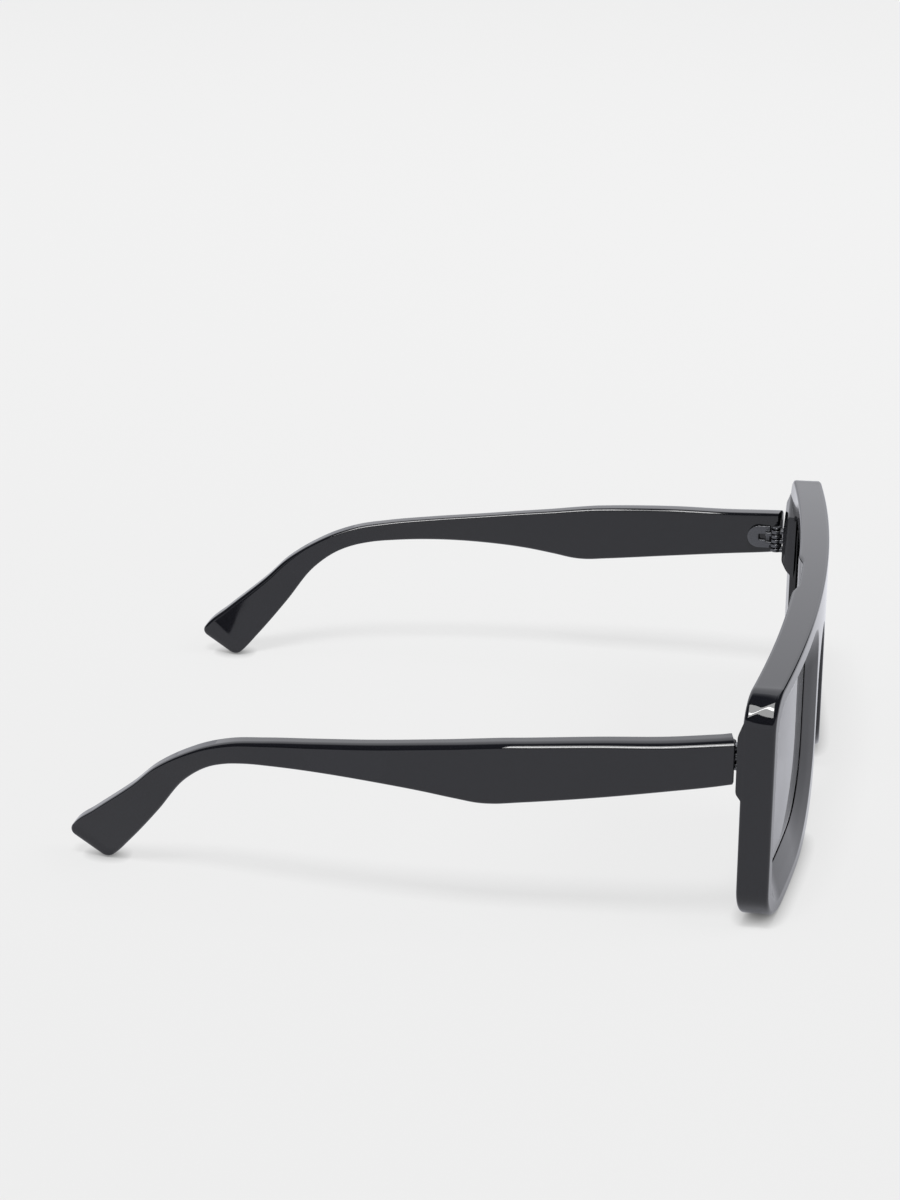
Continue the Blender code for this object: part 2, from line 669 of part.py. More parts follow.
def hang_on_pivot(label, side, pieces, group):
    """Parent moving pieces to an empty on their hinge axis."""
    pivot = bpy.data.objects.new("temple_%s_pivot" % label, None)
    group.objects.link(pivot)
    pivot.location = (side * PIVOT_X, PIVOT_Y, HINGE_Z)
    for piece in pieces:
        piece.data.transform(Matrix.Translation(-pivot.location))
        piece.parent = pivot


def main():
    """Build the glasses."""
    clear_scene()
    parts = collection("sunglasses")
    cutters = collection("cutters")
    make_front(parts, cutters)
    for label, side in SIDES.items():
        make_lens(label, side, parts)
        make_pad(label, side, parts)
        make_leaf(label, side, False, parts, cutters)
        make_screw(label, side, parts, cutters)
        temple = make_temple(label, side, parts, cutters)
        leaf = make_leaf(label, side, True, parts, cutters)
        hang_on_pivot(label, side, (temple, leaf), parts)


main()
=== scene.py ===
"""Black moulded sunglasses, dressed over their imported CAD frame.

Lengths are metres in the frame's own axes: +X is the wearer's left, -Y is the way the wearer
looks, and +Z is up from the floor that the open glasses stand on.
"""

import logging
import math
from dataclasses import dataclass, field
from enum import Enum

import bmesh
import bpy
import numpy as np
from mathutils import Matrix, Vector


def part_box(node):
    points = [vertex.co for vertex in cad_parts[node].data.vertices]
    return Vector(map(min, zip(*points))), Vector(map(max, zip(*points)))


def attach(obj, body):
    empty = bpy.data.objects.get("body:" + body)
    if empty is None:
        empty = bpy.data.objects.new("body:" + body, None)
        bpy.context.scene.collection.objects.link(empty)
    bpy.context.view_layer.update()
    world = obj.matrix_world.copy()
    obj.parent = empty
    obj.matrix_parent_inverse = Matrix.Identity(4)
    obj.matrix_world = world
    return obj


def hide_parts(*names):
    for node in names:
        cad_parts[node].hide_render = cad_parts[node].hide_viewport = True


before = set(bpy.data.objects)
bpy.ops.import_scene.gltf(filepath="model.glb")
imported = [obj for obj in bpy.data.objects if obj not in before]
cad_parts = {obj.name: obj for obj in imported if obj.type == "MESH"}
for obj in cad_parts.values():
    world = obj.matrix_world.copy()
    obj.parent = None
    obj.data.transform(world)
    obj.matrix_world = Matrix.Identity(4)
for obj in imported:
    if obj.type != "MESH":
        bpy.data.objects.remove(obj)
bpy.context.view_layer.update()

LOG = logging.getLogger("sunglasses")
IMAGE_WIDTH = 900
IMAGE_HEIGHT = 1200
WELD = 1e-6
SHARP_ANGLE = math.radians(38.0)
RING_STEPS, RING_EDGE_STEPS = 72, 4
# A crease turns in these steps, over at most this share of the way to the next one. Rows stand
# beside it to hold it in place, this far off or this share of the way where that is less.
TURN_SHARES = (0.0, 0.2, 0.4, 0.6, 0.8, 1.0)
SOFT_LIMIT = 0.45
HOLD, HOLD_LIMIT = 0.0003, 0.3
PLASTIC_IOR = 1.50
WHITE = (1.0, 1.0, 1.0, 1.0)

Loop = np.ndarray
Pair = tuple[float, float]
Triple = tuple[float, float, float]
Colour = tuple[float, float, float, float]
Node, Socket, Outputs = bpy.types.Node, bpy.types.NodeSocket, bpy.types.NodeOutputs
Tree, Mesh, Thing = bpy.types.NodeTree, bpy.types.Mesh, bpy.types.Object


class Side(Enum):
    """The wearer's side that a mirrored sub-assembly is on."""

    RIGHT = -1
    LEFT = 1

    @property
    def label(self) -> str:
        """The side's name as the CAD nodes spell it."""
        return self.name.lower()

    def turned(self, mesh: Mesh) -> Mesh:
        """Bring a mesh that was made for the left side to this one."""
        mesh.transform(Matrix.Diagonal((self.value, 1.0, 1.0, 1.0)))
        return mesh


class Body(Enum):
    """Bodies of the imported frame."""

    FRONT = "front"
    TEMPLE_RIGHT = "temple_right"
    TEMPLE_LEFT = "temple_left"

    @staticmethod
    def of_temple(side: Side) -> "Body":
        """The body that the temple on one side belongs to."""
        return Body.TEMPLE_RIGHT if side is Side.RIGHT else Body.TEMPLE_LEFT


class Slot(Enum):
    """Material slots of the record."""

    PLASTIC = "black_plastic"
    LENS = "tinted_lens"
    METAL = "hinge_metal"


class Span(Enum):
    """Stretches that every rim outline is cut into, each with its order and point count."""

    CROWN = (0, 16)
    TOP = (1, 56)
    TOP_OUT = (2, 64)
    OUTER = (3, 30)
    LOW_OUT = (4, 26)
    LOW = (5, 24)
    LOW_IN = (6, 44)
    NASAL = (7, 24)
    ARCH = (8, 12)
    SEAM = (9, 20)

    @property
    def steps(self) -> int:
        """Number of points on the stretch."""
        return self.value[1]


@dataclass(frozen=True)
class Layout:
    """Sizes and places that the sub-assemblies share."""

    half_width: float = 0.06725
    height: float = 0.0507
    thick: float = 0.0063
    radius: float = 0.416
    lug_stand: float = 0.00083
    end_gap: float = 0.0004
    reach: float = 0.1370
    temple_inset: float = 0.00035
    temple_thick: float = 0.0045
    hinge_drop: float = 0.0156
    gap: float = 0.0003
    knuckle_radius: float = 0.0013

    def sag(self, x: float) -> float:
        """How far the front's curve falls back at x."""
        return self.radius - math.sqrt(self.radius**2 - x**2)

    @property
    def ahead(self) -> float:
        """Depth from the front's foremost point to the temples' front ends."""
        return self.sag(self.half_width) + self.thick + self.lug_stand + self.end_gap

    @property
    def end_y(self) -> float:
        """Place of the temples' front ends."""
        return -(self.reach - self.ahead) / 2

    @property
    def face_y(self) -> float:
        """Place of the front's foremost point."""
        return self.end_y - self.ahead

    @property
    def lug_y(self) -> float:
        """Place of the lugs' back faces."""
        return self.end_y - self.end_gap

    @property
    def temple_half(self) -> float:
        """Distance of the temples' outer faces from the middle, at the hinge."""
        return self.half_width - self.temple_inset

    @property
    def temple_inner(self) -> float:
        """Distance of the temples' inner faces from the middle, at the hinge."""
        return self.temple_half - self.temple_thick

    @property
    def pivot(self) -> Vector:
        """The left hinge's axis, at its middle height."""
        reach = self.gap + self.knuckle_radius
        return Vector((self.temple_inner - reach, self.lug_y + reach,
                       self.height - self.hinge_drop))


class Graph:
    """A node tree under construction."""

    def __init__(self, tree: Tree) -> None:
        """Start from an empty tree."""
        self.tree = tree
        tree.nodes.clear()

    def add(self, kind: str, **settings: object) -> Node:
        """Add a node.

        Args:
            kind: Blender's name for the node type.
            settings: Properties of the node, or values of its inputs by name.

        Returns:
            The node.
        """
        node = self.tree.nodes.new(kind)
        for name, value in settings.items():
            if name in node.bl_rna.properties:
                setattr(node, name, value)
            else:
                self.feed(node.inputs[name.replace("_", " ")], value)
        return node

    def out(self, kind: str, **settings: object) -> Socket:
        """Add a node, and return its first output."""
        return self.add(kind, **settings).outputs[0]

    def feed(self, socket: Socket, value: object) -> None:
        """Give an input a link where the value is an output, and a plain value otherwise."""
        if isinstance(value, Socket):
            self.tree.links.new(value, socket)
        else:
            socket.default_value = value

    def calc(self, operation: str, *terms: object) -> Socket:
        """Work out a number from sockets and plain numbers."""
        node = self.add("ShaderNodeMath", operation=operation)
        for socket, term in zip(node.inputs, terms):
            self.feed(socket, term)
        return node.outputs[0]

    def times(self, first: object, second: object) -> Socket:
        """Multiply two numbers."""
        return self.calc("MULTIPLY", first, second)

    def plus(self, first: object, second: object) -> Socket:
        """Add two numbers."""
        return self.calc("ADD", first, second)

    def minus(self, first: object, second: object) -> Socket:
        """Take the second number from the first."""
        return self.calc("SUBTRACT", first, second)

    def blend(self, factor: object, first: object, second: object) -> Socket:
        """Mix two colours, whose sockets have no names of their own on the node."""
        node = self.add("ShaderNodeMix", data_type="RGBA")
        for key, value in (("Factor", factor), (6, first), (7, second)):
            self.feed(node.inputs[key], value)
        return node.outputs[2]

    def axes(self, vector: Socket) -> Outputs:
        """Split a vector in X, Y and Z."""
        return self.add("ShaderNodeSeparateXYZ", Vector=vector).outputs

    def coordinate(self, name: str = "Object") -> Socket:
        """Read one of the texture coordinates."""
        return self.add("ShaderNodeTexCoord").outputs[name]

    def ramp(self, value: object, low: float, high: float, start: float = 0.0,
             end: float = 1.0) -> Socket:
        """Pass a number smoothly from start to end while it goes from low to high.

        Args:
            value: The socket to read.
            low: Where the change starts.
            high: Where the change ends.
            start: Result up to low.
            end: Result from high on.

        Returns:
            The output socket.
        """
        node = self.add("ShaderNodeMapRange", interpolation_type="SMOOTHSTEP")
        for name, term in (("Value", value), ("From Min", low), ("From Max", high),
                           ("To Min", start), ("To Max", end)):
            self.feed(node.inputs[name], term)
        return node.outputs["Result"]


def add_socket(tree: Tree, name: str, kind: str, way: str = "INPUT") -> None:
    """Add a named socket to a node group."""
    tree.interface.new_socket(name=name, in_out=way, socket_type="NodeSocket" + kind)


@dataclass(frozen=True)
class Marks:
    """What handling leaves on every finish: smudges, wiping hairlines and settled dust."""

    blotch_scale: float = 0.9
    blotch: Pair = (0.50, 0.68)
    wipe_stretch: Triple = (9.0, 0.35, 11.0)
    wipe_turn: Triple = (0.12, 0.0, 0.05)
    wipe_scale: float = 4.0
    wipe: Pair = (0.64, 0.70)
    wipe_dulls: float = 0.5
    speck_scale: float = 26.0
    speck_edge: Pair = (0.03, 0.07)
    speck_chance: Pair = (0.86, 0.88)

    def group(self) -> Tree:
        """Build the shader group that the finishes share.

        Returns:
            The group, with outputs Roughness, Dust and Height.
        """
        tree = bpy.data.node_groups.new("handling_marks", "ShaderNodeTree")
        for name in ("Roughness", "Smudge", "Hairline", "Dust", "Scale"):
            add_socket(tree, name, "Float")
        for name in ("Roughness", "Dust", "Height"):
            add_socket(tree, name, "Float", "OUTPUT")
        graph = Graph(tree)
        given = graph.add("NodeGroupInput").outputs
        scaled = graph.add("ShaderNodeVectorMath", operation="SCALE", Scale=given["Scale"])
        graph.feed(scaled.inputs[0], graph.coordinate())
        spot = scaled.outputs[0]
        blotch = graph.out("ShaderNodeTexNoise", Vector=spot, Scale=self.blotch_scale,
                           Detail=4.0)
        smudge = graph.times(graph.ramp(blotch, *self.blotch), given["Smudge"])
        stretched = graph.out("ShaderNodeMapping", Vector=spot, Scale=self.wipe_stretch,
                              Rotation=self.wipe_turn)
        streak = graph.out("ShaderNodeTexNoise", Vector=stretched, Scale=self.wipe_scale,
                           Detail=6.0, Roughness=0.7)
        hairline = graph.times(graph.ramp(streak, *self.wipe), given["Hairline"])
        cells = graph.add("ShaderNodeTexVoronoi", Vector=spot, Scale=self.speck_scale,
                          Randomness=1.0).outputs
        near = graph.ramp(cells["Distance"], *self.speck_edge, 1.0, 0.0)
        chance = graph.out("ShaderNodeSeparateColor", Color=cells["Color"])
        speck = graph.times(near, graph.ramp(chance, *self.speck_chance))
        dust = graph.times(speck, given["Dust"])
        rough = graph.plus(graph.plus(given["Roughness"], smudge),
                           graph.plus(graph.times(hairline, self.wipe_dulls), dust))
        out = graph.add("NodeGroupOutput").inputs
        for name, value in (("Roughness", rough), ("Dust", dust),
                            ("Height", graph.minus(dust, hairline))):
            graph.feed(out[name], value)
        return tree


@dataclass(frozen=True)
class Finish:
    """A procedural surface finish, with the marks that handling leaves on it."""

    name: str
    colour: Triple
    roughness: float
    smudge: float = 0.03
    hairline: float = 0.05
    dust: float = 0.4
    scale: float = 55.0
    relief: float = 0.000004
    dust_colour: Colour = (0.30, 0.29, 0.28, 1.0)

    def material(self, marks: Tree) -> bpy.types.Material:
        """Build the finish's material.

        Args:
            marks: The shared group of handling marks.

        Returns:
            The material.
        """
        result = bpy.data.materials.new(self.name)
        result.use_nodes = True
        graph = Graph(result.node_tree)
        group = graph.add("ShaderNodeGroup", node_tree=marks)
        for name, value in (("Roughness", self.roughness), ("Smudge", self.smudge),
                            ("Hairline", self.hairline), ("Dust", self.dust),
                            ("Scale", self.scale)):
            graph.feed(group.inputs[name], value)
        shader = graph.add("ShaderNodeBsdfPrincipled")
        graph.feed(shader.inputs["Base Color"], graph.blend(
            group.outputs["Dust"], (*self.colour, 1.0), self.dust_colour))
        graph.feed(shader.inputs["Roughness"], group.outputs["Roughness"])
        height = self.dress(graph, shader, group.outputs["Height"])
        bump = graph.out("ShaderNodeBump", Height=height, Distance=self.relief, Strength=1.0)
        graph.feed(shader.inputs["Normal"], bump)
        out = graph.add("ShaderNodeOutputMaterial")
        graph.feed(out.inputs["Surface"], shader.outputs[0])
        return result

    def dress(self, graph: Graph, shader: Node, height: Socket) -> Socket:
        """Set what is special to the finish, and return the height for its relief."""
        return height


@dataclass(frozen=True)
class MouldedGloss(Finish):
    """Polished black plastic with the faint ripple of a moulded skin."""

    ripple: float = 0.6
    ripple_scale: float = 140.0

    def dress(self, graph: Graph, shader: Node, height: Socket) -> Socket:
        """Add the ripple, and return the height for the relief."""
        shader.inputs["IOR"].default_value = PLASTIC_IOR
        wave = graph.out("ShaderNodeTexNoise", Vector=graph.coordinate(),
                         Scale=self.ripple_scale, Detail=1.0)
        return graph.plus(height, graph.times(wave, self.ripple))


@dataclass(frozen=True)
class SmokeGlass(Finish):
    """Tinted see-through lens."""

    def dress(self, graph: Graph, shader: Node, height: Socket) -> Socket:
        """Make it clear right through, and return the height for the relief."""
        shader.inputs["IOR"].default_value = PLASTIC_IOR
        shader.inputs["Transmission Weight"].default_value = 1.0
        return height


@dataclass(frozen=True)
class SatinMetal(Finish):
    """Nickel-silver hinge metal with a drawn grain."""

    grain: float = 0.12
    grain_stretch: Triple = (9000.0, 500.0, 9000.0)

    def dress(self, graph: Graph, shader: Node, height: Socket) -> Socket:
        """Add the drawn grain, and return the height for the relief."""
        shader.inputs["Metallic"].default_value = 1.0
        drawn = graph.out("ShaderNodeMapping", Vector=graph.coordinate(),
                          Scale=self.grain_stretch)
        lines = graph.out("ShaderNodeTexNoise", Vector=drawn, Scale=1.0, Detail=3.0)
        rough = shader.inputs["Roughness"].links[0].from_socket
        graph.feed(shader.inputs["Roughness"],
                   graph.calc("MULTIPLY_ADD", lines, self.grain, rough))
        return graph.plus(height, lines)


class PieceTree(Graph):
    """A Geometry Nodes tree that ends in Realize Instances and Set Material."""

    def __init__(self, name: str, **inputs: str) -> None:
        """Start a tree.

        Args:
            name: Its name.
            inputs: The kinds of its own inputs, by name with underscores for spaces.
        """
        super().__init__(bpy.data.node_groups.new(name, "GeometryNodeTree"))
        for label, kind in ({"Geometry": "Geometry"} | inputs | {"Finish": "Material"}).items():
            add_socket(self.tree, label.replace("_", " "), kind)
        add_socket(self.tree, "Geometry", "Geometry", "OUTPUT")
        self.given = self.add("NodeGroupInput").outputs

    def point(self) -> Outputs:
        """The X, Y and Z of each point."""
        return self.axes(self.out("GeometryNodeInputPosition"))

    def move(self, x: object, y: object, z: object) -> Tree:
        """End the tree with the given geometry's points at a new place."""
        place = self.out("ShaderNodeCombineXYZ", X=x, Y=y, Z=z)
        moved = self.out("GeometryNodeSetPosition", Geometry=self.given["Geometry"],
                         Position=place)
        return self.finish(moved)

    def finish(self, shape: Socket) -> Tree:
        """End the tree with a shape, and return it."""
        real = self.out("GeometryNodeRealizeInstances", Geometry=shape)
        dressed = self.out("GeometryNodeSetMaterial", Geometry=real, Material=self.given["Finish"])
        self.feed(self.add("NodeGroupOutput").inputs[0], dressed)
        return self.tree


def front_curve() -> Tree:
    """Build the tree that bends flat pieces of the front to its plan curve.

    Returns:
        The tree, with inputs Radius, Face and Finish.
    """
    graph = PieceTree("front_curve", Radius="Float", Face="Float")
    radius, at = graph.given["Radius"], graph.point()
    square = graph.minus(graph.times(radius, radius), graph.times(at["X"], at["X"]))
    sag = graph.minus(radius, graph.calc("SQRT", square))
    depth = graph.plus(graph.plus(at["Y"], sag), graph.given["Face"])
    return graph.move(at["X"], depth, at["Z"])


def temple_bow() -> Tree:
    """Build the tree that bows a flat temple out and curls it in along its length.

    Returns:
        The tree, with inputs Half, Splay, Curl, Tip Curl, Side and Finish.
    """
    graph = PieceTree("temple_bow", Half="Float", Splay="Float", Curl="Float",
                      Tip_Curl="Float", Side="Float")
    given, at = graph.given, graph.point()
    share = graph.out("GeometryNodeInputNamedAttribute", data_type="FLOAT", Name=Temple.SHARE)
    curl = graph.plus(given["Curl"], graph.times(share, given["Tip Curl"]))
    slope = graph.minus(given["Splay"], graph.times(share, curl))
    half = graph.plus(given["Half"], graph.times(share, slope))
    across = graph.times(graph.minus(half, at["X"]), given["Side"])
    return graph.move(across, at["Y"], at["Z"])


def knuckle_stack() -> Tree:
    """Build the tree that stacks ring knuckles along a hinge pin.

    Returns:
        The tree, with inputs Count, Pitch, Height, Radius, Bore, Round and Finish.
    """
    graph = PieceTree("knuckle_stack", Count="Int", Pitch="Float", Height="Float",
                      Radius="Float", Bore="Float", Round="Float")
    given = graph.given
    mean = graph.times(graph.plus(given["Radius"], given["Bore"]), 0.5)
    circle = graph.out("GeometryNodeCurvePrimitiveCircle", Radius=mean, Resolution=RING_STEPS)
    section = graph.out("GeometryNodeCurvePrimitiveQuadrilateral", Height=given["Height"],
                        Width=graph.minus(given["Radius"], given["Bore"]))
    eased = graph.out("GeometryNodeFilletCurve", mode="POLY", Curve=section,
                      Radius=given["Round"], Count=RING_EDGE_STEPS)
    ring = graph.out("GeometryNodeCurveToMesh", Curve=circle, Profile_Curve=eased)
    step = graph.out("ShaderNodeCombineXYZ", Z=given["Pitch"])
    line = graph.out("GeometryNodeMeshLine", Count=given["Count"], Offset=step)
    stack = graph.out("GeometryNodeInstanceOnPoints", Points=line, Instance=ring)
    return graph.finish(stack)


class Shell:
    """Points and faces gathered from grids, and welded into one mesh."""

    def __init__(self) -> None:
        """Start with nothing."""
        self.points: list[Loop] = []
        self.faces: list[tuple[int, ...]] = []
        self.count = 0

    def grid(self, rows: list[Loop], closed: bool = True) -> "Shell":
        """Skin rows that have equally many points.

        Args:
            rows: The rows, each an array of (x, y, z) points.
            closed: Whether each row's last point joins its first.

        Returns:
            The shell itself.
        """
        wide = len(rows[0])
        start = self.count
        for row in rows:
            self.points.append(np.asarray(row, float))
            self.count += wide
        for level in range(len(rows) - 1):
            low, high = start + level * wide, start + (level + 1) * wide
            for spot in range(wide if closed else wide - 1):
                beside = (spot + 1) % wide
                self.faces.append((low + spot, low + beside, high + beside, high + spot))
        return self

    def lid(self, row: Loop) -> "Shell":
        """Close a row with one flat face."""
        start = self.count
        self.points.append(np.asarray(row, float))
        self.count += len(row)
        self.faces.append(tuple(range(start, start + len(row))))
        return self

    def mesh(self, name: str) -> Mesh:
        """Weld the shell into mesh data with its faces outwards."""
        made = bpy.data.meshes.new(name)
        made.from_pydata(np.concatenate(self.points).tolist(), [], self.faces)
        return outward(made)


def outward(mesh: Mesh) -> Mesh:
    """Merge a mesh's doubles, point its faces out and shade it smooth."""
    work = bmesh.new()
    work.from_mesh(mesh)
    bmesh.ops.remove_doubles(work, verts=work.verts, dist=WELD)
    bmesh.ops.dissolve_degenerate(work, edges=work.edges, dist=WELD)
    bmesh.ops.recalc_face_normals(work, faces=work.faces)
    work.to_mesh(mesh)
    work.free()
    mesh.shade_smooth()
    mesh.set_sharp_from_angle(angle=SHARP_ANGLE)
    return mesh


def placed(name: str, data: bpy.types.ID) -> Thing:
    """Put a mesh, a lamp or a camera in the scene as an object at the origin."""
    thing = bpy.data.objects.new(name, data)
    bpy.context.scene.collection.objects.link(thing)
    return thing


def baked(thing: Thing) -> None:
    """Remove an object's modifiers, and keep the plain mesh that they make."""
    bpy.context.view_layer.update()
    graph = bpy.context.evaluated_depsgraph_get()
    mesh = bpy.data.meshes.new_from_object(thing.evaluated_get(graph))
    thing.modifiers.clear()
    thing.data = outward(mesh)


def joined(name: str, meshes: list[Mesh]) -> Mesh:
    """Gather several meshes in one."""
    work = bmesh.new()
    for mesh in meshes:
        work.from_mesh(mesh)
    result = bpy.data.meshes.new(name)
    work.to_mesh(result)
    work.free()
    return outward(result)


@dataclass(frozen=True)
class Workshop:
    """The finishes and the node trees that the pieces are made with."""

    paint: dict[Slot, bpy.types.Material]
    curve: Tree
    bow: Tree
    stack: Tree

    @staticmethod
    def opened() -> "Workshop":
        """Make the shared marks, one material for each slot, and the trees."""
        marks = Marks().group()
        finishes = {
            Slot.PLASTIC: MouldedGloss("black_gloss_plastic", (0.0060, 0.0062, 0.0082), 0.035,
                                       smudge=0.03, hairline=0.03, dust=0.22),
            Slot.LENS: SmokeGlass("smoke_lens", (0.10, 0.10, 0.105), 0.015, smudge=0.02,
                                  hairline=0.015, dust=0.15, relief=0.000002),
            Slot.METAL: SatinMetal("nickel_silver", (0.11, 0.112, 0.118), 0.22, smudge=0.06,
                                   hairline=0.10, dust=0.25, scale=220.0),
        }
        return Workshop({slot: finish.material(marks) for slot, finish in finishes.items()},
                        front_curve(), temple_bow(), knuckle_stack())

    def shape(self, thing: Thing, tree: Tree, slot: Slot, **values: object) -> None:
        """Run a Geometry Nodes tree on an object and keep the plain mesh that it makes.

        Args:
            thing: The object, whose mesh is replaced.
            tree: The tree to run.
            slot: The record's slot that its finish comes from.
            values: The tree's other inputs, by name with underscores for spaces.
        """
        values["Finish"] = self.paint[slot]
        change = thing.modifiers.new(tree.name, "NODES")
        change.node_group = tree
        for item in tree.interface.items_tree:
            key = item.name.replace(" ", "_")
            if item.item_type == "SOCKET" and item.in_out == "INPUT" and key in values:
                change[item.identifier] = values[key]
        baked(thing)

    def bend(self, thing: Thing, layout: Layout, slot: Slot) -> None:
        """Bend a flat piece of the front to its curve."""
        self.shape(thing, self.curve, slot, Radius=layout.radius, Face=layout.face_y)

    def mount(self, thing: Thing, body: Body, slot: Slot, *nodes: str) -> None:
        """Give a piece its finish, hang it on its body and let it stand for its CAD nodes.

        Args:
            thing: The finished piece.
            body: The body that it moves with.
            slot: The record's slot that its finish comes from.
            nodes: The CAD nodes that it stands for.
        """
        thing.data.materials.clear()
        thing.data.materials.append(self.paint[slot])
        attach(thing, body.value)
        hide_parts(*nodes)
        corners = zip((thing.bound_box[0], thing.bound_box[6]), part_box(nodes[0]))
        off = max(abs(a - b) for made, packed in corners for a, b in zip(made, packed))
        LOG.info("%s: %d faces on %s, at most %.2f mm from its node's box", thing.name,
                 len(thing.data.polygons), body.value, off * 1000)


def arc(centre: Pair, reach: Pair, start: float, end: float, steps: int) -> Loop:
    """Points on an ellipse from one angle to another in degrees, without the last."""
    angles = np.radians(np.linspace(start, end, steps, endpoint=False))
    return np.stack((centre[0] + reach[0] * np.cos(angles),
                     centre[1] + reach[1] * np.sin(angles)), axis=1)


def straight(start: Pair, end: Pair, steps: int) -> Loop:
    """Points on a line, without the last."""
    share = np.linspace(0.0, 1.0, steps, endpoint=False)[:, None]
    return np.asarray(start) + share * (np.asarray(end) - np.asarray(start))


def travelled(points: Loop) -> np.ndarray:
    """Length along a polyline up to each of its points."""
    return np.concatenate(([0.0], np.cumsum(np.linalg.norm(np.diff(points, axis=0), axis=1))))


def spaced(points: Loop, steps: int) -> Loop:
    """Even points along a polyline, without its last."""
    length = travelled(points)
    at = np.linspace(0.0, length[-1], steps, endpoint=False)
    return np.stack([np.interp(at, length, points[:, axis]) for axis in (0, 1)], axis=1)


def lifted(loop: Loop, depth: object) -> Loop:
    """Stand a front-view loop of (x, z) points up at a depth, or at one depth for each."""
    depths = np.broadcast_to(np.asarray(depth, float), len(loop))
    return np.stack((loop[:, 0], depths, loop[:, 1]), axis=1)


@dataclass
class Crease:
    """A row of a section, how softly it turns there and the rows up to the next."""

    row: Loop
    soft: float = 0.0
    rows: int = 1


def skin(creases: list[Crease], ring: bool = False) -> list[Loop]:
    """Round the creases of a section and add the rows between them.

    Args:
        creases: The rows where the section turns.
        ring: Whether the last row joins the first.

    Returns:
        All rows in order.
    """
    stops: list[list[Loop]] = []
    for index, crease in enumerate(creases):
        inner = ring or 0 < index < len(creases) - 1
        if crease.soft and inner:
            before = creases[index - 1].row - crease.row
            after = creases[(index + 1) % len(creases)].row - crease.row
            size = [np.linalg.norm(way, axis=1, keepdims=True) for way in (before, after)]
            soft = [np.minimum(crease.soft, length * SOFT_LIMIT) for length in size]
            start = crease.row + before / np.maximum(size[0], WELD) * soft[0]
            end = crease.row + after / np.maximum(size[1], WELD) * soft[1]
            stops.append([(1 - t) ** 2 * start + 2 * t * (1 - t) * crease.row + t * t * end
                          for t in TURN_SHARES])
        else:
            stops.append([crease.row])
    rows: list[Loop] = []
    for index, stop in enumerate(stops):
        rows += stop
        if index == len(stops) - 1 and not ring:
            break
        start, end = stop[-1], stops[(index + 1) % len(stops)][0]
        length = np.linalg.norm(end - start, axis=1).mean()
        hold = min(HOLD_LIMIT, HOLD / max(length, WELD))
        count = creases[index].rows
        shares = [hold] + [step / count for step in range(1, count)] + [1.0 - hold]
        rows += [start + (end - start) * share for share in sorted(set(shares))
                 if hold <= share <= 1.0 - hold]
    return rows


def outer_spans(edge: float, high: float, low: float, top: Pair, foot: Pair,
                inner: float) -> list[Loop]:
    """The outer side of a rounded outline.

    Args:
        edge: How far out it stands.
        high: Its top.
        low: Its foot.
        top: Radii of its top corner.
        foot: Radii of its low corner.
        inner: Where the low edge ends.

    Returns:
        The spans from the top outer corner to the low edge.
    """
    return [arc((edge - top[0], high - top[1]), top, 90.0, 0.0, Span.TOP_OUT.steps),
            straight((edge, high - top[1]), (edge, low + foot[1]), Span.OUTER.steps),
            arc((edge - foot[0], low + foot[1]), foot, 0.0, -90.0, Span.LOW_OUT.steps),
            straight((edge - foot[0], low), (inner, low), Span.LOW.steps)]


@dataclass(frozen=True)
class Window:
    """A rounded lens opening: its edges, and its corners from the top outer one clockwise."""

    CROWN_END = 112.0
    ARCH_END = 155.0

    inner: float
    outer: float
    low: float
    high: float
    top_out: Pair
    low_out: Pair
    low_in: Pair
    top_in: Pair

    def loop(self, grow: float = 0.0) -> Loop:
        """The opening's outline, grown outward all round.

        Args:
            grow: How far it stands out from the opening's own edge.

        Returns:
            One (x, z) point for each point of every span.
        """
        inner, outer = self.inner - grow, self.outer + grow
        low, high = self.low - grow, self.high + grow
        top_out, low_out, low_in, top_in = [
            (rx + grow, rz + grow)
            for rx, rz in (self.top_out, self.low_out, self.low_in, self.top_in)]
        turn = (inner + top_in[0], high - top_in[1])
        return np.concatenate((
            arc(turn, top_in, self.CROWN_END, 90.0, Span.CROWN.steps),
            straight((inner + top_in[0], high), (outer - top_out[0], high), Span.TOP.steps),
            *outer_spans(outer, high, low, top_out, low_out, inner + low_in[0]),
            arc((inner + low_in[0], low + low_in[1]), low_in, -90.0, -180.0,
                Span.LOW_IN.steps),
            straight((inner, low + low_in[1]), (inner, high - top_in[1]), Span.NASAL.steps),
            arc(turn, top_in, 180.0, self.ARCH_END, Span.ARCH.steps),
            arc(turn, top_in, self.ARCH_END, self.CROWN_END, Span.SEAM.steps)))


@dataclass
class Piece:
    """A sub-assembly, made in the workshop to the shared layout."""

    shop: Workshop
    layout: Layout


@dataclass
class SidedPiece(Piece):
    """A sub-assembly that each side has its own of."""

    side: Side

    def set_in_front(self, name: str, mesh: Mesh, slot: Slot, node: str) -> None:
        """Bend a flat left-hand mesh into the front on this side, and mount it."""
        thing = placed(name, self.side.turned(mesh))
        self.shop.bend(thing, self.layout, slot)
        self.shop.mount(thing, Body.FRONT, slot, node + self.side.label)


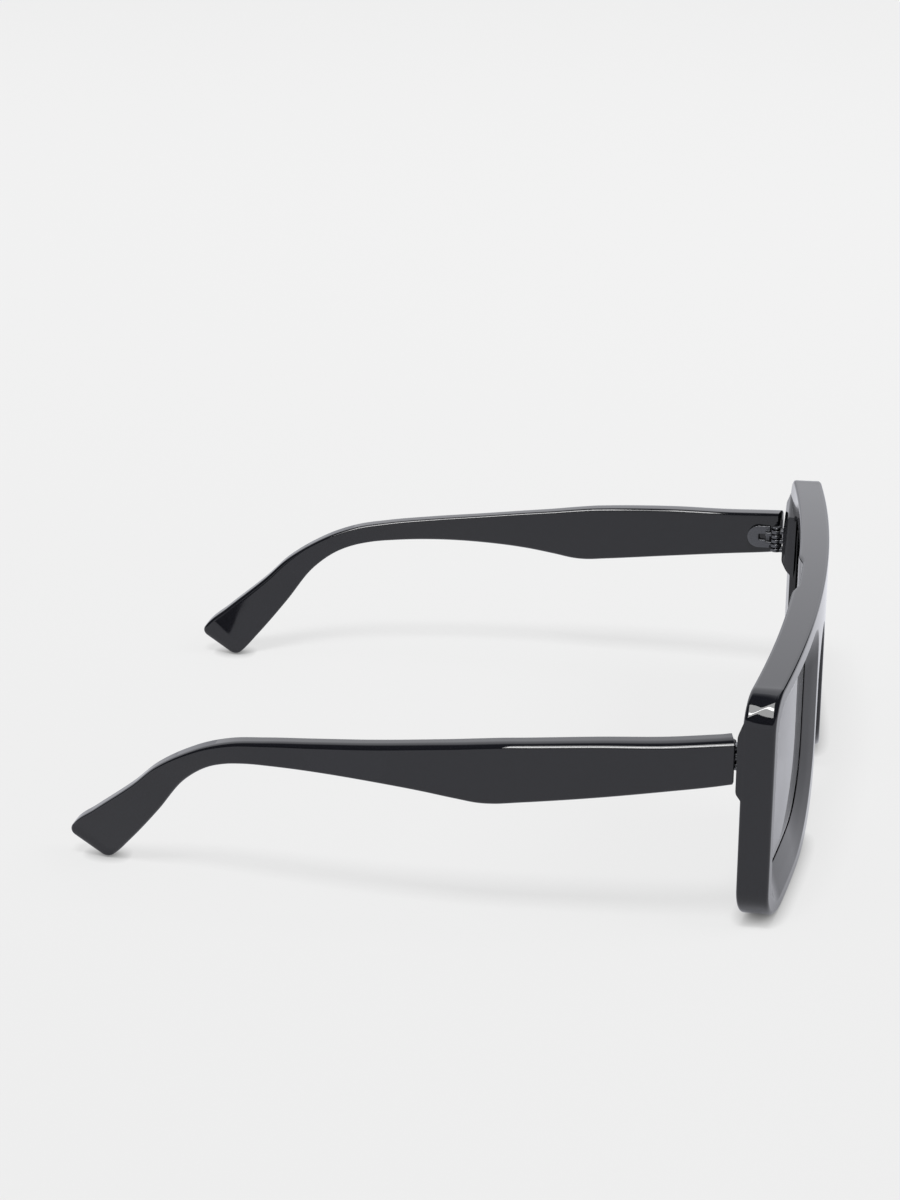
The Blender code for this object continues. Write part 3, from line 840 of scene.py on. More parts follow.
@dataclass
class FrontMoulding(Piece):
    """The front: rims, bridge, brow and the two lugs that carry the hinges."""

    crown: float = 0.0012
    nose_steps: tuple[int, int] = (160, 80)
    top_corner: Pair = (0.0070, 0.0070)
    low_corner: Pair = (0.0140, 0.0093)
    edge_round: float = 0.0007
    round_rows: int = 9
    wall_rows: int = 20
    nose_half: float = 0.0105
    nose_neck: float = 0.0095
    nose_spring: float = 0.0290
    nose_apex: float = 0.0390
    sweep_half: float = 0.0355
    sweep_rise: float = 0.0128
    arch_height: float = 0.0377
    arch_low: float = 0.0198
    crown_reach: float = 0.0150
    bevel_depth: float = 0.00220
    bevel_ease: float = 0.00025
    # The bevel bends at this share of its width, and this share of its depth.
    bevel_bend: Pair = (0.45, 0.42)
    wall_draft: float = 0.0003
    lens_face: float = 0.0024
    lens_thick: float = 0.0023
    # The ridge runs between these depths, at these heights above the corner's lower end.
    ridge_front: Pair = (0.0007, 0.0068)
    ridge_back: Pair = (0.0056, 0.0031)
    ridge_height: float = 0.00024
    ridge_reach: float = 0.0014
    ridge_soft: float = 0.00012
    # Heights from the hinge's middle at the lug's inner and outer end, then for each edge of
    # the lug: how far ahead of its back it lies, its inner end from the side, and its own rise.
    lug_under: Pair = (-0.0035, -0.0051)
    lug_under_columns: tuple[Triple, ...] = (
        (0.0030, 0.0140, -0.0030), (0.0011, 0.0122, -0.0016), (0.0, 0.0108, 0.0))
    lug_over: Pair = (0.0039, 0.0069)
    lug_over_columns: tuple[Triple, ...] = (
        (0.0, 0.0080, 0.0), (0.0011, 0.0095, 0.0030), (0.0030, 0.0105, 0.0032))
    lug_soft: float = 0.0006
    lug_bite: float = 0.0001
    lug_steps: int = 14
    lug_end_rows: int = 16
    groove: float = 0.00085
    groove_gap: float = 0.0001
    notch_half: float = 0.0062
    notch_ramp: float = 0.0050
    notch_rise: float = 0.0060
    notch_depth: float = 0.0010
    aperture: Window = Window(0.0185, 0.0638, 0.0088, 0.0463, (0.006, 0.006), (0.010, 0.010),
                              (0.0172, 0.0130), (0.0120, 0.0103))
    back: Window = Window(0.0193, 0.0608, 0.0096, 0.0455, (0.015, 0.013), (0.010, 0.010),
                          (0.0172, 0.0130), (0.0120, 0.0103))
    crest: Window = Window(0.0138, 0.0644, 0.0028, 0.0467, (0.0064, 0.0064), (0.009, 0.009),
                           (0.0262, 0.0170), (0.009, 0.009))

    def brow(self, x: np.ndarray | float) -> np.ndarray | float:
        """Height of the crowned brow at x."""
        return self.layout.height - self.crown * (x / self.layout.half_width) ** 2

    def outline(self) -> Loop:
        """The moulding's outer edge on the left half, with the middle line as its seam."""
        half, (fine, plain) = self.layout.half_width, self.nose_steps
        turn = half - self.top_corner[0]
        along = np.linspace(0.0, self.crown_reach, Span.CROWN.steps, endpoint=False)
        top = np.linspace(self.crown_reach, turn, Span.TOP.steps, endpoint=False)
        nose = np.concatenate((
            arc((self.sweep_half, self.sweep_rise),
                (self.sweep_half - self.nose_half, self.sweep_rise), -90.0, -180.0, fine),
            straight((self.nose_half, self.sweep_rise), (self.nose_neck, self.nose_spring),
                     plain),
            arc((0.0, self.nose_spring), (self.nose_neck, self.nose_apex - self.nose_spring),
                0.0, 90.0, fine), [(0.0, self.nose_apex)]))
        low = int(np.argmax(nose[:, 1] >= self.arch_low))
        high = int(np.argmax(nose[:, 1] >= self.arch_height))
        return np.concatenate((
            np.stack((along, self.brow(along)), axis=1),
            np.stack((top, self.brow(top)), axis=1),
            *outer_spans(half, self.brow(turn), 0.0, self.top_corner, self.low_corner,
                         self.sweep_half),
            spaced(nose[:low + 1], Span.LOW_IN.steps),
            spaced(nose[low:high + 1], Span.NASAL.steps),
            spaced(nose[high:], Span.ARCH.steps),
            straight((0.0, self.nose_apex), (0.0, self.brow(0.0)), Span.SEAM.steps)))

    def half_mesh(self) -> Mesh:
        """Skin the left half of the front, still flat."""
        edge = self.outline()
        strip = edge[:len(edge) - Span.SEAM.steps + 1]
        way = np.gradient(strip, axis=0)
        way[0], way[-1] = (1.0, 0.0), (-1.0, 0.0)
        out = np.stack((-way[:, 1], way[:, 0]), axis=1)
        out /= np.linalg.norm(out, axis=1, keepdims=True)
        inset = strip - out * self.edge_round
        seam = straight(tuple(inset[-1]), tuple(inset[0]), Span.SEAM.steps)
        ring = np.concatenate((inset[:-1], seam))
        normal = np.concatenate((out[:-1], np.tile((-1.0, 0.0), (Span.SEAM.steps, 1))))
        crest, sill, ease = self.crest.loop(), self.aperture.loop(), self.bevel_ease
        past = np.einsum("ij,ij->i", crest - ring, normal) + ease * 2
        slope = np.einsum("ij,ij->i", crest - sill, normal)
        cut = np.where(past > 0.0, past / np.maximum(slope, past + WELD), 0.0)
        crest, start = crest + (sill - crest) * cut[:, None], cut * self.bevel_depth
        along, deep = self.bevel_bend
        bend = crest + (sill - crest) * along
        bend_depth = start + (self.bevel_depth - start) * deep
        held, hole = self.aperture.loop(self.groove), self.back.loop()
        drafted, gap = self.aperture.loop(-self.wall_draft * 0.5), self.groove_gap
        seat, lens_back = self.lens_face - gap, self.lens_face + self.lens_thick + gap
        thick = self.layout.thick
        shell = Shell().grid(skin([
            Crease(lifted(ring, start), rows=6),
            Crease(lifted(crest, start), ease, rows=3),
            Crease(lifted(bend, bend_depth), ease * 3, rows=4),
            Crease(lifted(sill, self.bevel_depth), ease * 0.7, rows=2),
            Crease(lifted(drafted, seat), gap),
            Crease(lifted(held, seat)),
            Crease(lifted(held, lens_back)),
            Crease(lifted(hole, lens_back), gap, rows=2),
            Crease(lifted(hole, thick), ease * 1.4, rows=26),
            Crease(lifted(ring, thick))]))

        def rounded(angle: float, depth: object, way: float) -> Loop:
            """One row of the outer edge's rounding, from a face towards the wall."""
            return lifted(inset + out * self.edge_round * math.sin(angle),
                          depth + way * self.edge_round * (1.0 - math.cos(angle)))

        turns = np.radians(np.linspace(0.0, 90.0, self.round_rows))
        wall = [rounded(angle, start[:len(strip)], 1.0) for angle in turns]
        rest = [rounded(angle, thick, -1.0) for angle in turns[::-1]]
        between = [wall[-1] + (rest[0] - wall[-1]) * share
                   for share in np.linspace(0.0, 1.0, self.wall_rows)[1:-1]]
        shell.grid([self.ridged(row, out) for row in wall + between + rest], closed=False)
        return shell.mesh("front_half")

    def ridged(self, row: Loop, out: Loop) -> Loop:
        """Raise the soft ridge that polishing left across the top outer corner.

        Args:
            row: A row of the outer wall, still flat.
            out: The wall's outward direction at each point.

        Returns:
            The row with its ridge.
        """
        low = Span.CROWN.steps + Span.TOP.steps + Span.TOP_OUT.steps
        length = travelled(row[:, (0, 2)])
        up = length[low] - length
        (front, high), (back, deep) = self.ridge_front, self.ridge_back
        slope = (deep - high) / (back - front)
        off = (up - high - (row[:, 1] - front) * slope) / math.hypot(1.0, slope)
        past = np.sqrt(off**2 + self.ridge_soft**2) - self.ridge_soft
        rise = self.ridge_height * np.exp(-past / self.ridge_reach)
        depth = np.minimum(row[:, 1], self.layout.thick - row[:, 1])
        edge = np.clip(depth / self.edge_round, 0.0, 1.0)
        result = row.copy()
        result[:, (0, 2)] += out * (rise * edge)[:, None]
        return result

    def notched(self, mesh: Mesh) -> None:
        """Press the shallow notch into the back of the bridge."""
        middle = self.layout.thick / 2
        for vert in mesh.vertices:
            if vert.co.z > self.nose_spring and vert.co.y > middle:
                across = 1.0 - (abs(vert.co.x) - self.notch_half) / self.notch_ramp
                up = (vert.co.z - self.nose_spring) / self.notch_rise
                press = min(1.0, (vert.co.y - middle) / middle)
                for share in (across, up):
                    share = min(1.0, max(0.0, share))
                    press *= share * share * (3.0 - 2.0 * share)
                vert.co.y -= self.notch_depth * press

    def side_limit(self, z: float) -> float:
        """How far out the moulding's side wall stands at a height."""
        turn = float(self.brow(self.layout.half_width - self.top_corner[0])) - self.top_corner[1]
        past = min(max(0.0, (z - turn) / self.top_corner[1]), 1.0)
        return self.layout.half_width - self.top_corner[0] * (1.0 - math.sqrt(1.0 - past**2))

    def lug(self, side: Side) -> Mesh:
        """Skin one lug, the end piece behind the rim's outer edge."""
        place, columns = self.layout, []
        for (near, far), spots in ((self.lug_under, self.lug_under_columns),
                                   (self.lug_over, self.lug_over_columns)):
            for back, inner, slip in spots:
                rail = []
                for share in (step / self.lug_steps for step in range(self.lug_steps + 1)):
                    z = place.pivot.z + near + (far - near) * share + slip
                    run = self.side_limit(z) - self.lug_bite - place.half_width + inner
                    rail.append((place.half_width - inner + run * share, place.lug_y - back, z))
                columns.append(Crease(np.asarray(rail), self.lug_soft, rows=3))
        rows = skin(columns)
        for point in (point for row in rows for point in row):
            point[0] = min(point[0], self.side_limit(point[2]) - self.lug_bite)
        shell, half = Shell().grid(rows, closed=False), len(rows) // 2
        for end in (0, -1):
            chains = []
            for share in np.linspace(0.0, 1.0, self.lug_end_rows):
                chain = np.asarray([low[end] + (high[end] - low[end]) * share
                                    for low, high in zip(rows[:half], rows[:half - 1:-1])])
                if end:
                    chain[:, 0] = [self.side_limit(z) - self.lug_bite for z in chain[:, 2]]
                chains.append(chain)
            shell.grid(chains, closed=False)
        return outward(side.turned(shell.mesh("lug")))

    def build(self) -> None:
        """Make the front, bent to its curve."""
        left = self.half_mesh()
        thing = placed("front_moulding",
                       joined("front_flat", [left, Side.RIGHT.turned(left.copy())]))
        self.notched(thing.data)
        self.shop.bend(thing, self.layout, Slot.PLASTIC)
        thing.data = joined("front_moulding",
                            [thing.data, self.lug(Side.RIGHT), self.lug(Side.LEFT)])
        self.shop.mount(thing, Body.FRONT, Slot.PLASTIC, "front_frame")


@dataclass
class Lens(SidedPiece):
    """A tinted lens, held in the rim's groove."""

    front: FrontMoulding
    held: float = 0.0008
    edge_ease: float = 0.0003
    shares: tuple[float, ...] = (0.0, 0.1, 0.22, 0.34, 0.46, 0.58, 0.70, 0.80, 0.88, 0.94,
                                 0.98, 1.0)

    def build(self) -> None:
        """Make the lens, bent to the front's curve."""
        face, back = self.front.lens_face, self.front.lens_face + self.front.lens_thick
        rim = self.front.aperture.loop(self.held)
        eased = self.front.aperture.loop(self.held - self.edge_ease)
        centre = (rim.min(axis=0) + rim.max(axis=0)) / 2
        ahead = [lifted(centre + (eased - centre) * share, face) for share in self.shares]
        behind = [lifted(centre + (eased - centre) * share, back)
                  for share in self.shares[::-1]]
        middle = [lifted(rim, face + self.edge_ease), lifted(rim, back - self.edge_ease)]
        mesh = Shell().grid(ahead + middle + behind).mesh("lens_flat")
        self.set_in_front("smoke_lens_" + self.side.label, mesh, Slot.LENS, "lens_")


@dataclass
class NosePad(SidedPiece):
    """A nose pad moulded behind the nasal rim."""

    across: float = 0.0148
    up: float = 0.0240
    width: float = 0.0066
    height: float = 0.0190
    depth: float = 0.0030
    tilt: float = math.radians(-8.0)
    foot: float = 0.0003
    flare: float = 0.5
    fullness: float = 0.85
    skirt: Triple = (-9.0, -3.0, 0.0)
    dome: tuple[float, float, int] = (8.0, 90.0, 18)
    steps: int = 72

    def build(self) -> None:
        """Make the pad, set on the curved front."""
        around = np.linspace(0.0, 2 * math.pi, self.steps, endpoint=False)
        lean, rise = math.sin(self.tilt), math.cos(self.tilt)
        rows = []
        for angle in np.radians([*self.skirt, *np.linspace(*self.dome)]):
            reach = (math.cos(angle) ** self.fullness if angle > 0.0
                     else 1.0 - self.flare * angle)
            depth = self.depth * math.sin(angle) if angle > 0.0 else self.depth * angle
            x = reach * self.width / 2 * np.cos(around)
            z = reach * self.height / 2 * np.sin(around)
            turned = np.stack((x * rise + z * lean, z * rise - x * lean), axis=1)
            rows.append(lifted(turned + (self.across, self.up),
                               self.layout.thick + self.foot + depth))
        rows.insert(0, lifted(np.tile(rows[0][:, (0, 2)].mean(axis=0), (len(around), 1)),
                              rows[0][0, 1]))
        self.set_in_front("nose_pad_" + self.side.label + "_soft",
                          Shell().grid(rows).mesh("pad"), Slot.PLASTIC, "nose_pad_")


@dataclass
class Temple(SidedPiece):
    """A temple: a flat lofted arm, bowed out and curled in."""

    SHARE = "temple_share"
    # Top edge along and up, low edge along and up, thickness from thin to full, lean in degrees.
    STATIONS = (
        (0.000, 1.000, 0.000, 0.773, 1.00, 0.0), (0.030, 0.992, 0.030, 0.756, 0.98, 0.0),
        (0.090, 0.976, 0.090, 0.727, 0.90, 0.0), (0.191, 0.962, 0.191, 0.678, 0.75, 0.0),
        (0.302, 0.936, 0.302, 0.628, 0.50, 0.0), (0.327, 0.929, 0.334, 0.615, 0.42, 1.0),
        (0.357, 0.917, 0.359, 0.615, 0.32, 3.0), (0.392, 0.902, 0.392, 0.631, 0.20, 6.0),
        (0.442, 0.883, 0.442, 0.655, 0.05, 9.0), (0.513, 0.856, 0.513, 0.677, 0.00, 12.0),
        (0.603, 0.826, 0.598, 0.689, 0.00, 13.0), (0.678, 0.798, 0.663, 0.685, 0.05, 12.0),
        (0.733, 0.768, 0.708, 0.674, 0.15, 11.0), (0.770, 0.728, 0.738, 0.655, 0.25, 9.0),
        (0.807, 0.668, 0.768, 0.616, 0.30, 6.0), (0.848, 0.580, 0.806, 0.520, 0.30, 3.0),
        (0.889, 0.453, 0.849, 0.330, 0.25, 0.0), (0.955, 0.272, 0.900, 0.122, 0.25, 0.0),
        (0.988, 0.180, 0.925, 0.030, 0.22, 0.0), (1.000, 0.122, 0.936, 0.000, 0.10, 0.0))

    top: float = 0.0409
    thin: float = 0.0035
    splay: float = 0.0179
    curl: float = 0.0233
    tip_curl: float = 0.0063
    edge_round: float = 0.0007
    top_round: Pair = (0.0023, 0.0013)
    mitre: float = 0.0010
    mitre_share: float = 0.02
    tip_round: Pair = (0.0019, 0.0008)
    tip_shrink: float = 0.93
    tip_turns: tuple[float, float, int] = (9.0, 81.0, 9)
    first_spots: Triple = (0.0, 0.0002, 0.0005)
    first_step: float = 0.001
    samples: int = 220
    corner_steps: int = 12
    side_shares: tuple[float, ...] = (0.05, 0.35, 0.65, 0.95)

    def stations(self) -> Loop:
        """Pass smooth curves through the stations' values.

        Returns:
            Rows of top along and up, low along and up, thickness share and lean.
        """
        keys = np.asarray(self.STATIONS)
        middle = np.stack((keys[:, (0, 2)].mean(axis=1) * self.layout.reach,
                           keys[:, (1, 3)].mean(axis=1) * self.top), axis=1)
        at = travelled(middle)
        slope = np.gradient(keys, at, axis=0)
        spots = np.concatenate((self.first_spots, np.linspace(
            self.first_step, at[-1] - self.tip_round[0], self.samples)))
        seat = np.clip(np.searchsorted(at, spots, side="right") - 1, 0, len(at) - 2)
        span = (at[seat + 1] - at[seat])[:, None]
        t = (spots[:, None] - at[seat][:, None]) / span
        return ((2 * t**3 - 3 * t**2 + 1) * keys[seat] + (t**3 - 2 * t**2 + t) * span * slope[seat]
                + (3 * t**2 - 2 * t**3) * keys[seat + 1]
                + (t**3 - t**2) * span * slope[seat + 1])

    def section(self, station: Loop) -> tuple[Loop, float]:
        """One ring of the arm, with x counted inward from its outer face.

        Args:
            station: A row that stations() gives.

        Returns:
            The ring and its share along the arm.
        """
        top_along, top_up, low_along, low_up, stout, lean = station
        layout = self.layout
        thick = self.thin + (layout.temple_thick - self.thin) * stout
        top = np.array((layout.end_y + top_along * layout.reach, top_up * self.top))
        low = np.array((layout.end_y + low_along * layout.reach, low_up * self.top))
        height = float(np.linalg.norm(low - top))
        skew = math.tan(math.radians(lean))
        blend = max(0.0, 1.0 - top_along)
        edge = (self.edge_round, self.edge_round)
        brow = tuple(self.edge_round + (radius - self.edge_round) * blend
                     for radius in self.top_round)
        corners = ((thick, 0.0, -1, 1, 0.0), (0.0, 0.0, 1, 1, 90.0),
                   (0.0, height, 1, -1, 180.0), (thick, height, -1, -1, 270.0))
        flat: list[Loop] = []
        for (depth, fall, sx, sz, start), (wide, tall) in zip(corners, (edge, brow, edge, edge)):
            angles = np.radians(start + np.linspace(0.0, 90.0, self.corner_steps))
            flat.append(np.stack((depth + sx * wide + wide * np.cos(angles),
                                  fall + sz * tall - tall * np.sin(angles)), axis=1))
        ring: list[Loop] = []
        for turn, after in zip(flat, flat[1:] + flat[:1]):
            gap = after[0] - turn[-1]
            ring += [turn] + [turn[-1] + gap * share for share in self.side_shares]
        points = np.vstack(ring)
        across, down = points[:, 0], points[:, 1]
        place = top + (low - top) * (down / height)[:, None]
        place[:, 0] += self.mitre * across / thick * max(0.0, 1.0 - top_along / self.mitre_share)
        lean_in = (height / 2 - down) * skew
        return (np.stack((across + lean_in, place[:, 0], place[:, 1]), axis=1),
                (top_along + low_along) / 2)

    def build(self) -> None:
        """Make the temple, bowed to its plan curve."""
        rings, shares = zip(*(self.section(row) for row in self.stations()))
        rows, marks = list(rings), list(shares)
        ahead = (rows[-1] - rows[-2]).mean(axis=0)
        ahead /= np.linalg.norm(ahead)
        size = np.ptp(rows[-1] @ np.array(((1, 0), (0, ahead[2]), (0, -ahead[1]))), axis=0)
        middle = rows[-1].mean(axis=0)
        spread = rows[-1] - middle
        flat = spread * (1.0, 0.0, 0.0)
        long, stout = self.tip_round
        for angle in np.radians(np.linspace(*self.tip_turns)):
            lost = 2.0 * (1.0 - math.cos(angle))
            rows.append(middle + flat * (1.0 - stout * lost / size[0])
                        + (spread - flat) * (1.0 - long * lost / size[1])
                        + ahead * long * math.sin(angle))
            marks.append(marks[-1])
        first = rows[0]
        centre = first.mean(axis=0)
        rows[0] = centre + (first - centre) * self.tip_shrink
        for shrink in (0.5, 0.0):
            rows.insert(0, centre + (first - centre) * shrink)
            marks.insert(0, marks[0])
            tail = rows[-1].mean(axis=0)
            rows.append(tail + (rows[-1] - tail) * shrink)
            marks.append(marks[-1])
        made = bpy.data.meshes.new("temple_flat")
        shell = Shell().grid(rows)
        made.from_pydata(np.concatenate(shell.points).tolist(), [], shell.faces)
        layer = made.attributes.new(self.SHARE, "FLOAT", "POINT")
        layer.data.foreach_set("value", np.repeat(marks, len(first)).astype(np.float32))
        thing = placed("temple_arm_" + self.side.label, made)
        self.shop.shape(thing, self.shop.bow, Slot.PLASTIC, Half=self.layout.temple_half,
                        Splay=self.splay, Curl=self.curl, Tip_Curl=self.tip_curl,
                        Side=float(self.side.value))
        self.shop.mount(thing, Body.of_temple(self.side), Slot.PLASTIC,
                        "temple_" + self.side.label)


@dataclass
class Hinge(SidedPiece):
    """A five-knuckle hinge: front leaf, temple leaf and slotted screw."""

    # Shares of the screw head's radius and height, from its underside up.
    HEAD_PROFILE = ((0.94, 0.0), (1.0, 0.2), (1.0, 0.5), (0.82, 0.86), (0.5, 1.0), (0.0, 1.0))

    knuckles: int = 5
    knuckle_height: float = 0.0008
    pin_radius: float = 0.0005
    # The pin's foot: its share of the radius, and the height that it takes to the full one.
    pin_foot: Pair = (0.7, 0.0002)
    head_radius: float = 0.0010
    head_height: float = 0.0005
    tail: float = 0.0003
    leaf_thick: float = 0.0008
    front_width: float = 0.0034
    temple_length: float = 0.0052
    window_length: float = 0.0017
    window_height: float = 0.0015
    window_setback: float = 0.0009
    web: float = 0.0010
    proud: float = 0.00004
    ease: float = 0.0001
    ring_ease: float = 0.00012
    plate_round: float = 0.0004
    shank_room: float = 0.0003
    web_bite: float = 0.0004
    window_power: int = 6
    turned_steps: int = 64
    # Points along a side of the temple's leaf, round its end and across the knuckles.
    leaf_steps: tuple[int, int, int] = (16, 48, 32)
    slot_size: Pair = (0.00028, 0.0005)
    slot_ease: float = 0.00005
    slot_reach: float = 0.0015
    lid_share: float = 0.05

    @property
    def pitch(self) -> float:
        """Height from one knuckle to the next."""
        return self.knuckle_height + self.layout.gap

    @property
    def height(self) -> float:
        """Height of the whole stack of knuckles."""
        return self.knuckles * self.pitch - self.layout.gap

    def slab(self, outline: Loop, near: float, far: float, hole: Loop | None = None) -> Shell:
        """A plate with eased edges, between two depths, as (a, depth, b) points."""
        centre = outline.mean(axis=0)
        inner = hole if hole is not None else centre + (outline - centre) * self.lid_share
        soft = self.ease if hole is not None else 0.0
        rows = skin([Crease(lifted(outline, near), self.ease, rows=2),
                     Crease(lifted(outline, far), self.ease, rows=2),
                     Crease(lifted(inner, far), soft), Crease(lifted(inner, near), soft)],
                    ring=True)
        if hole is not None:
            return Shell().grid(rows + rows[:1])
        front, back = (next(index for index, row in enumerate(rows)
                            if np.allclose(row, lifted(inner, depth), atol=WELD))
                       for depth in (far, near))
        shell = Shell().grid(rows[back:] + rows[:front + 1])
        return shell.lid(rows[front]).lid(rows[back])

    def rectangle(self, middle: Pair, size: Pair, round_by: float, steps: int = 12) -> Loop:
        """A rounded rectangle of (a, b) points, from its right side anticlockwise."""
        corner = (round_by, round_by)
        half = (size[0] / 2 - round_by, size[1] / 2 - round_by)
        return np.concatenate([
            arc((middle[0] + sx * half[0], middle[1] + sz * half[1]), corner, start,
                start + 90.0, steps)
            for sx, sz, start in ((1, 1, 0.0), (-1, 1, 90.0), (-1, -1, 180.0), (1, -1, 270.0))])

    def rings(self, count: int, first: int) -> Mesh:
        """Stack a leaf's count of knuckles on the hinge axis, from the first place up."""
        thing = placed("knuckles", bpy.data.meshes.new("knuckles"))
        pivot, bore = self.layout.pivot, self.pin_radius + self.layout.gap / 2
        self.shop.shape(thing, self.shop.stack, Slot.METAL, Count=count, Pitch=self.pitch * 2,
                        Height=self.knuckle_height, Radius=self.layout.knuckle_radius,
                        Bore=bore, Round=self.ring_ease)
        low = pivot.z - self.height / 2 + first * self.pitch + self.knuckle_height / 2
        mesh = thing.data
        mesh.transform(Matrix.Translation((self.side.value * pivot.x, pivot.y, low)))
        bpy.data.objects.remove(thing)
        return mesh

    def webs(self, count: int, first: int, on_temple: bool) -> list[Mesh]:
        """Small blocks that tie a leaf's knuckles to its plate."""
        pivot, layout = self.layout.pivot, self.layout
        room = self.pin_radius + self.shank_room
        if on_temple:
            near = layout.temple_inner - layout.gap - self.web
            far = layout.temple_inner + self.web_bite
            ahead = pivot.y + room
            behind = pivot.y + layout.knuckle_radius + layout.gap + self.web
        else:
            near, far = pivot.x - self.web, pivot.x + self.web
            ahead, behind = layout.lug_y - self.leaf_thick / 2, pivot.y - room
        made, tall = [], self.knuckle_height
        for index in range(first, first + 2 * count, 2):
            low = pivot.z - self.height / 2 + index * self.pitch
            outline = self.rectangle(((near + far) / 2, low + tall / 2), (far - near, tall),
                                     self.ease, 4)
            made.append(self.side.turned(self.slab(outline, ahead, behind).mesh("web")))
        return made

    def leaf(self, name: str, plate: Mesh, on_temple: bool) -> None:
        """Join a leaf's plate, knuckles and webs, and mount them."""
        count, first = (2, 1) if on_temple else (3, 0)
        parts = [plate, self.rings(count, first), *self.webs(count, first, on_temple)]
        thing = placed(name + "_" + self.side.label, joined(name, parts))
        body, node = ((Body.of_temple(self.side), "temple_hinge_") if on_temple
                      else (Body.FRONT, "front_hinge_"))
        self.shop.mount(thing, body, Slot.METAL, node + self.side.label)

    def front_leaf(self) -> None:
        """Make the leaf that is set in the lug."""
        pivot, layout = self.layout.pivot, self.layout
        outline = self.rectangle((pivot.x, pivot.z), (self.front_width, self.height),
                                 self.plate_round)
        plate = self.slab(outline, layout.lug_y - self.leaf_thick, layout.lug_y + self.proud)
        self.leaf("lug_leaf", self.side.turned(plate.mesh("front_leaf")), on_temple=False)

    def temple_leaf(self) -> None:
        """Make the round-ended leaf that is set in the temple."""
        pivot, layout = self.layout.pivot, self.layout
        ahead = pivot.y + layout.knuckle_radius + layout.gap
        half, (along, round_end, across) = self.height / 2, self.leaf_steps
        turn, low, high = ahead + self.temple_length - half, pivot.z - half, pivot.z + half
        outer = np.concatenate((
            straight((ahead, low), (turn, low), along),
            arc((turn, pivot.z), (half, half), -90.0, 90.0, round_end),
            straight((turn, high), (ahead, high), along),
            straight((ahead, high), (ahead, low), across)))
        middle = np.array((ahead + self.window_setback + self.window_length / 2, pivot.z))
        way = outer - middle
        share = np.abs(way / (self.window_length / 2, self.window_height / 2))
        reach = (share ** self.window_power).sum(axis=1) ** (1 / self.window_power)
        face = layout.temple_inner
        plate = self.slab(outer, face - self.proud, face + self.leaf_thick,
                          middle + way / reach[:, None]).mesh("temple_leaf")
        plate.transform(Matrix(((0, self.side.value, 0, 0), (1, 0, 0, 0), (0, 0, 1, 0),
                                (0, 0, 0, 1))))
        self.leaf("temple_leaf", outward(plate), on_temple=True)

    def screw(self) -> None:
        """Turn the hinge screw and cut the slot in its head."""
        pivot = self.layout.pivot
        top = self.height / 2 + self.layout.gap
        foot = -self.height / 2 - self.tail
        pin, head, tall = self.pin_radius, self.head_radius, self.head_height
        share, rise = self.pin_foot
        profile = [(0.0, foot), (pin * share, foot), (pin, foot + rise), (pin, top)]
        profile += [(head * share, top + tall * rise) for share, rise in self.HEAD_PROFILE]
        around = np.linspace(0.0, 2 * math.pi, self.turned_steps, endpoint=False)
        rows = [np.stack((self.side.value * pivot.x + radius * np.cos(around),
                          pivot.y + radius * np.sin(around),
                          np.full(len(around), pivot.z + z)), axis=1) for radius, z in profile]
        thing = placed("slotted_screw_" + self.side.label, Shell().grid(rows).mesh("screw"))
        blade = self.rectangle((self.side.value * pivot.x, pivot.z + top + tall),
                               self.slot_size, self.slot_ease, 3)
        slab = self.slab(blade, pivot.y - self.slot_reach, pivot.y + self.slot_reach)
        cutter = placed("screw_slot", slab.mesh("slot"))
        change = thing.modifiers.new("slot", "BOOLEAN")
        change.object, change.solver, change.operation = cutter, "EXACT", "DIFFERENCE"
        baked(thing)
        bpy.data.objects.remove(cutter)
        self.shop.mount(thing, Body.FRONT, Slot.METAL, "hinge_screw_" + self.side.label)

    def build(self) -> None:
        """Make both leaves and the screw."""
        self.front_leaf()
        self.temple_leaf()
        self.screw()


@dataclass(frozen=True)
class Lamp:
    """A soft box that faces the object.

    The azimuth counts degrees from -X towards +Y, and the elevation from the floor. The size is
    the degrees that it spans across and up, seen from the object. A radiance of 1 is white.
    """

    name: str
    azimuth: float
    elevation: float
    distance: float
    size: Pair
    radiance: float
    diffuse: bool = True
    glossy: bool = True

    def hang(self) -> None:
        """Put the lamp in the scene."""
        data = bpy.data.lights.new(self.name, "AREA")
        data.shape = "RECTANGLE"
        wide, high = (2.0 * self.distance * math.tan(math.radians(span) / 2)
                      for span in self.size)
        data.size, data.size_y = wide, high
        data.energy = self.radiance * math.pi * wide * high
        thing = placed(self.name, data)
        turn, rise = math.radians(self.azimuth), math.radians(self.elevation)
        way = Vector((-math.cos(turn) * math.cos(rise), math.sin(turn) * math.cos(rise),
                      math.sin(rise)))
        thing.location = way * self.distance
        thing.rotation_euler = way.to_track_quat("Z", "Y").to_euler()
        thing.visible_diffuse, thing.visible_glossy = self.diffuse, self.glossy


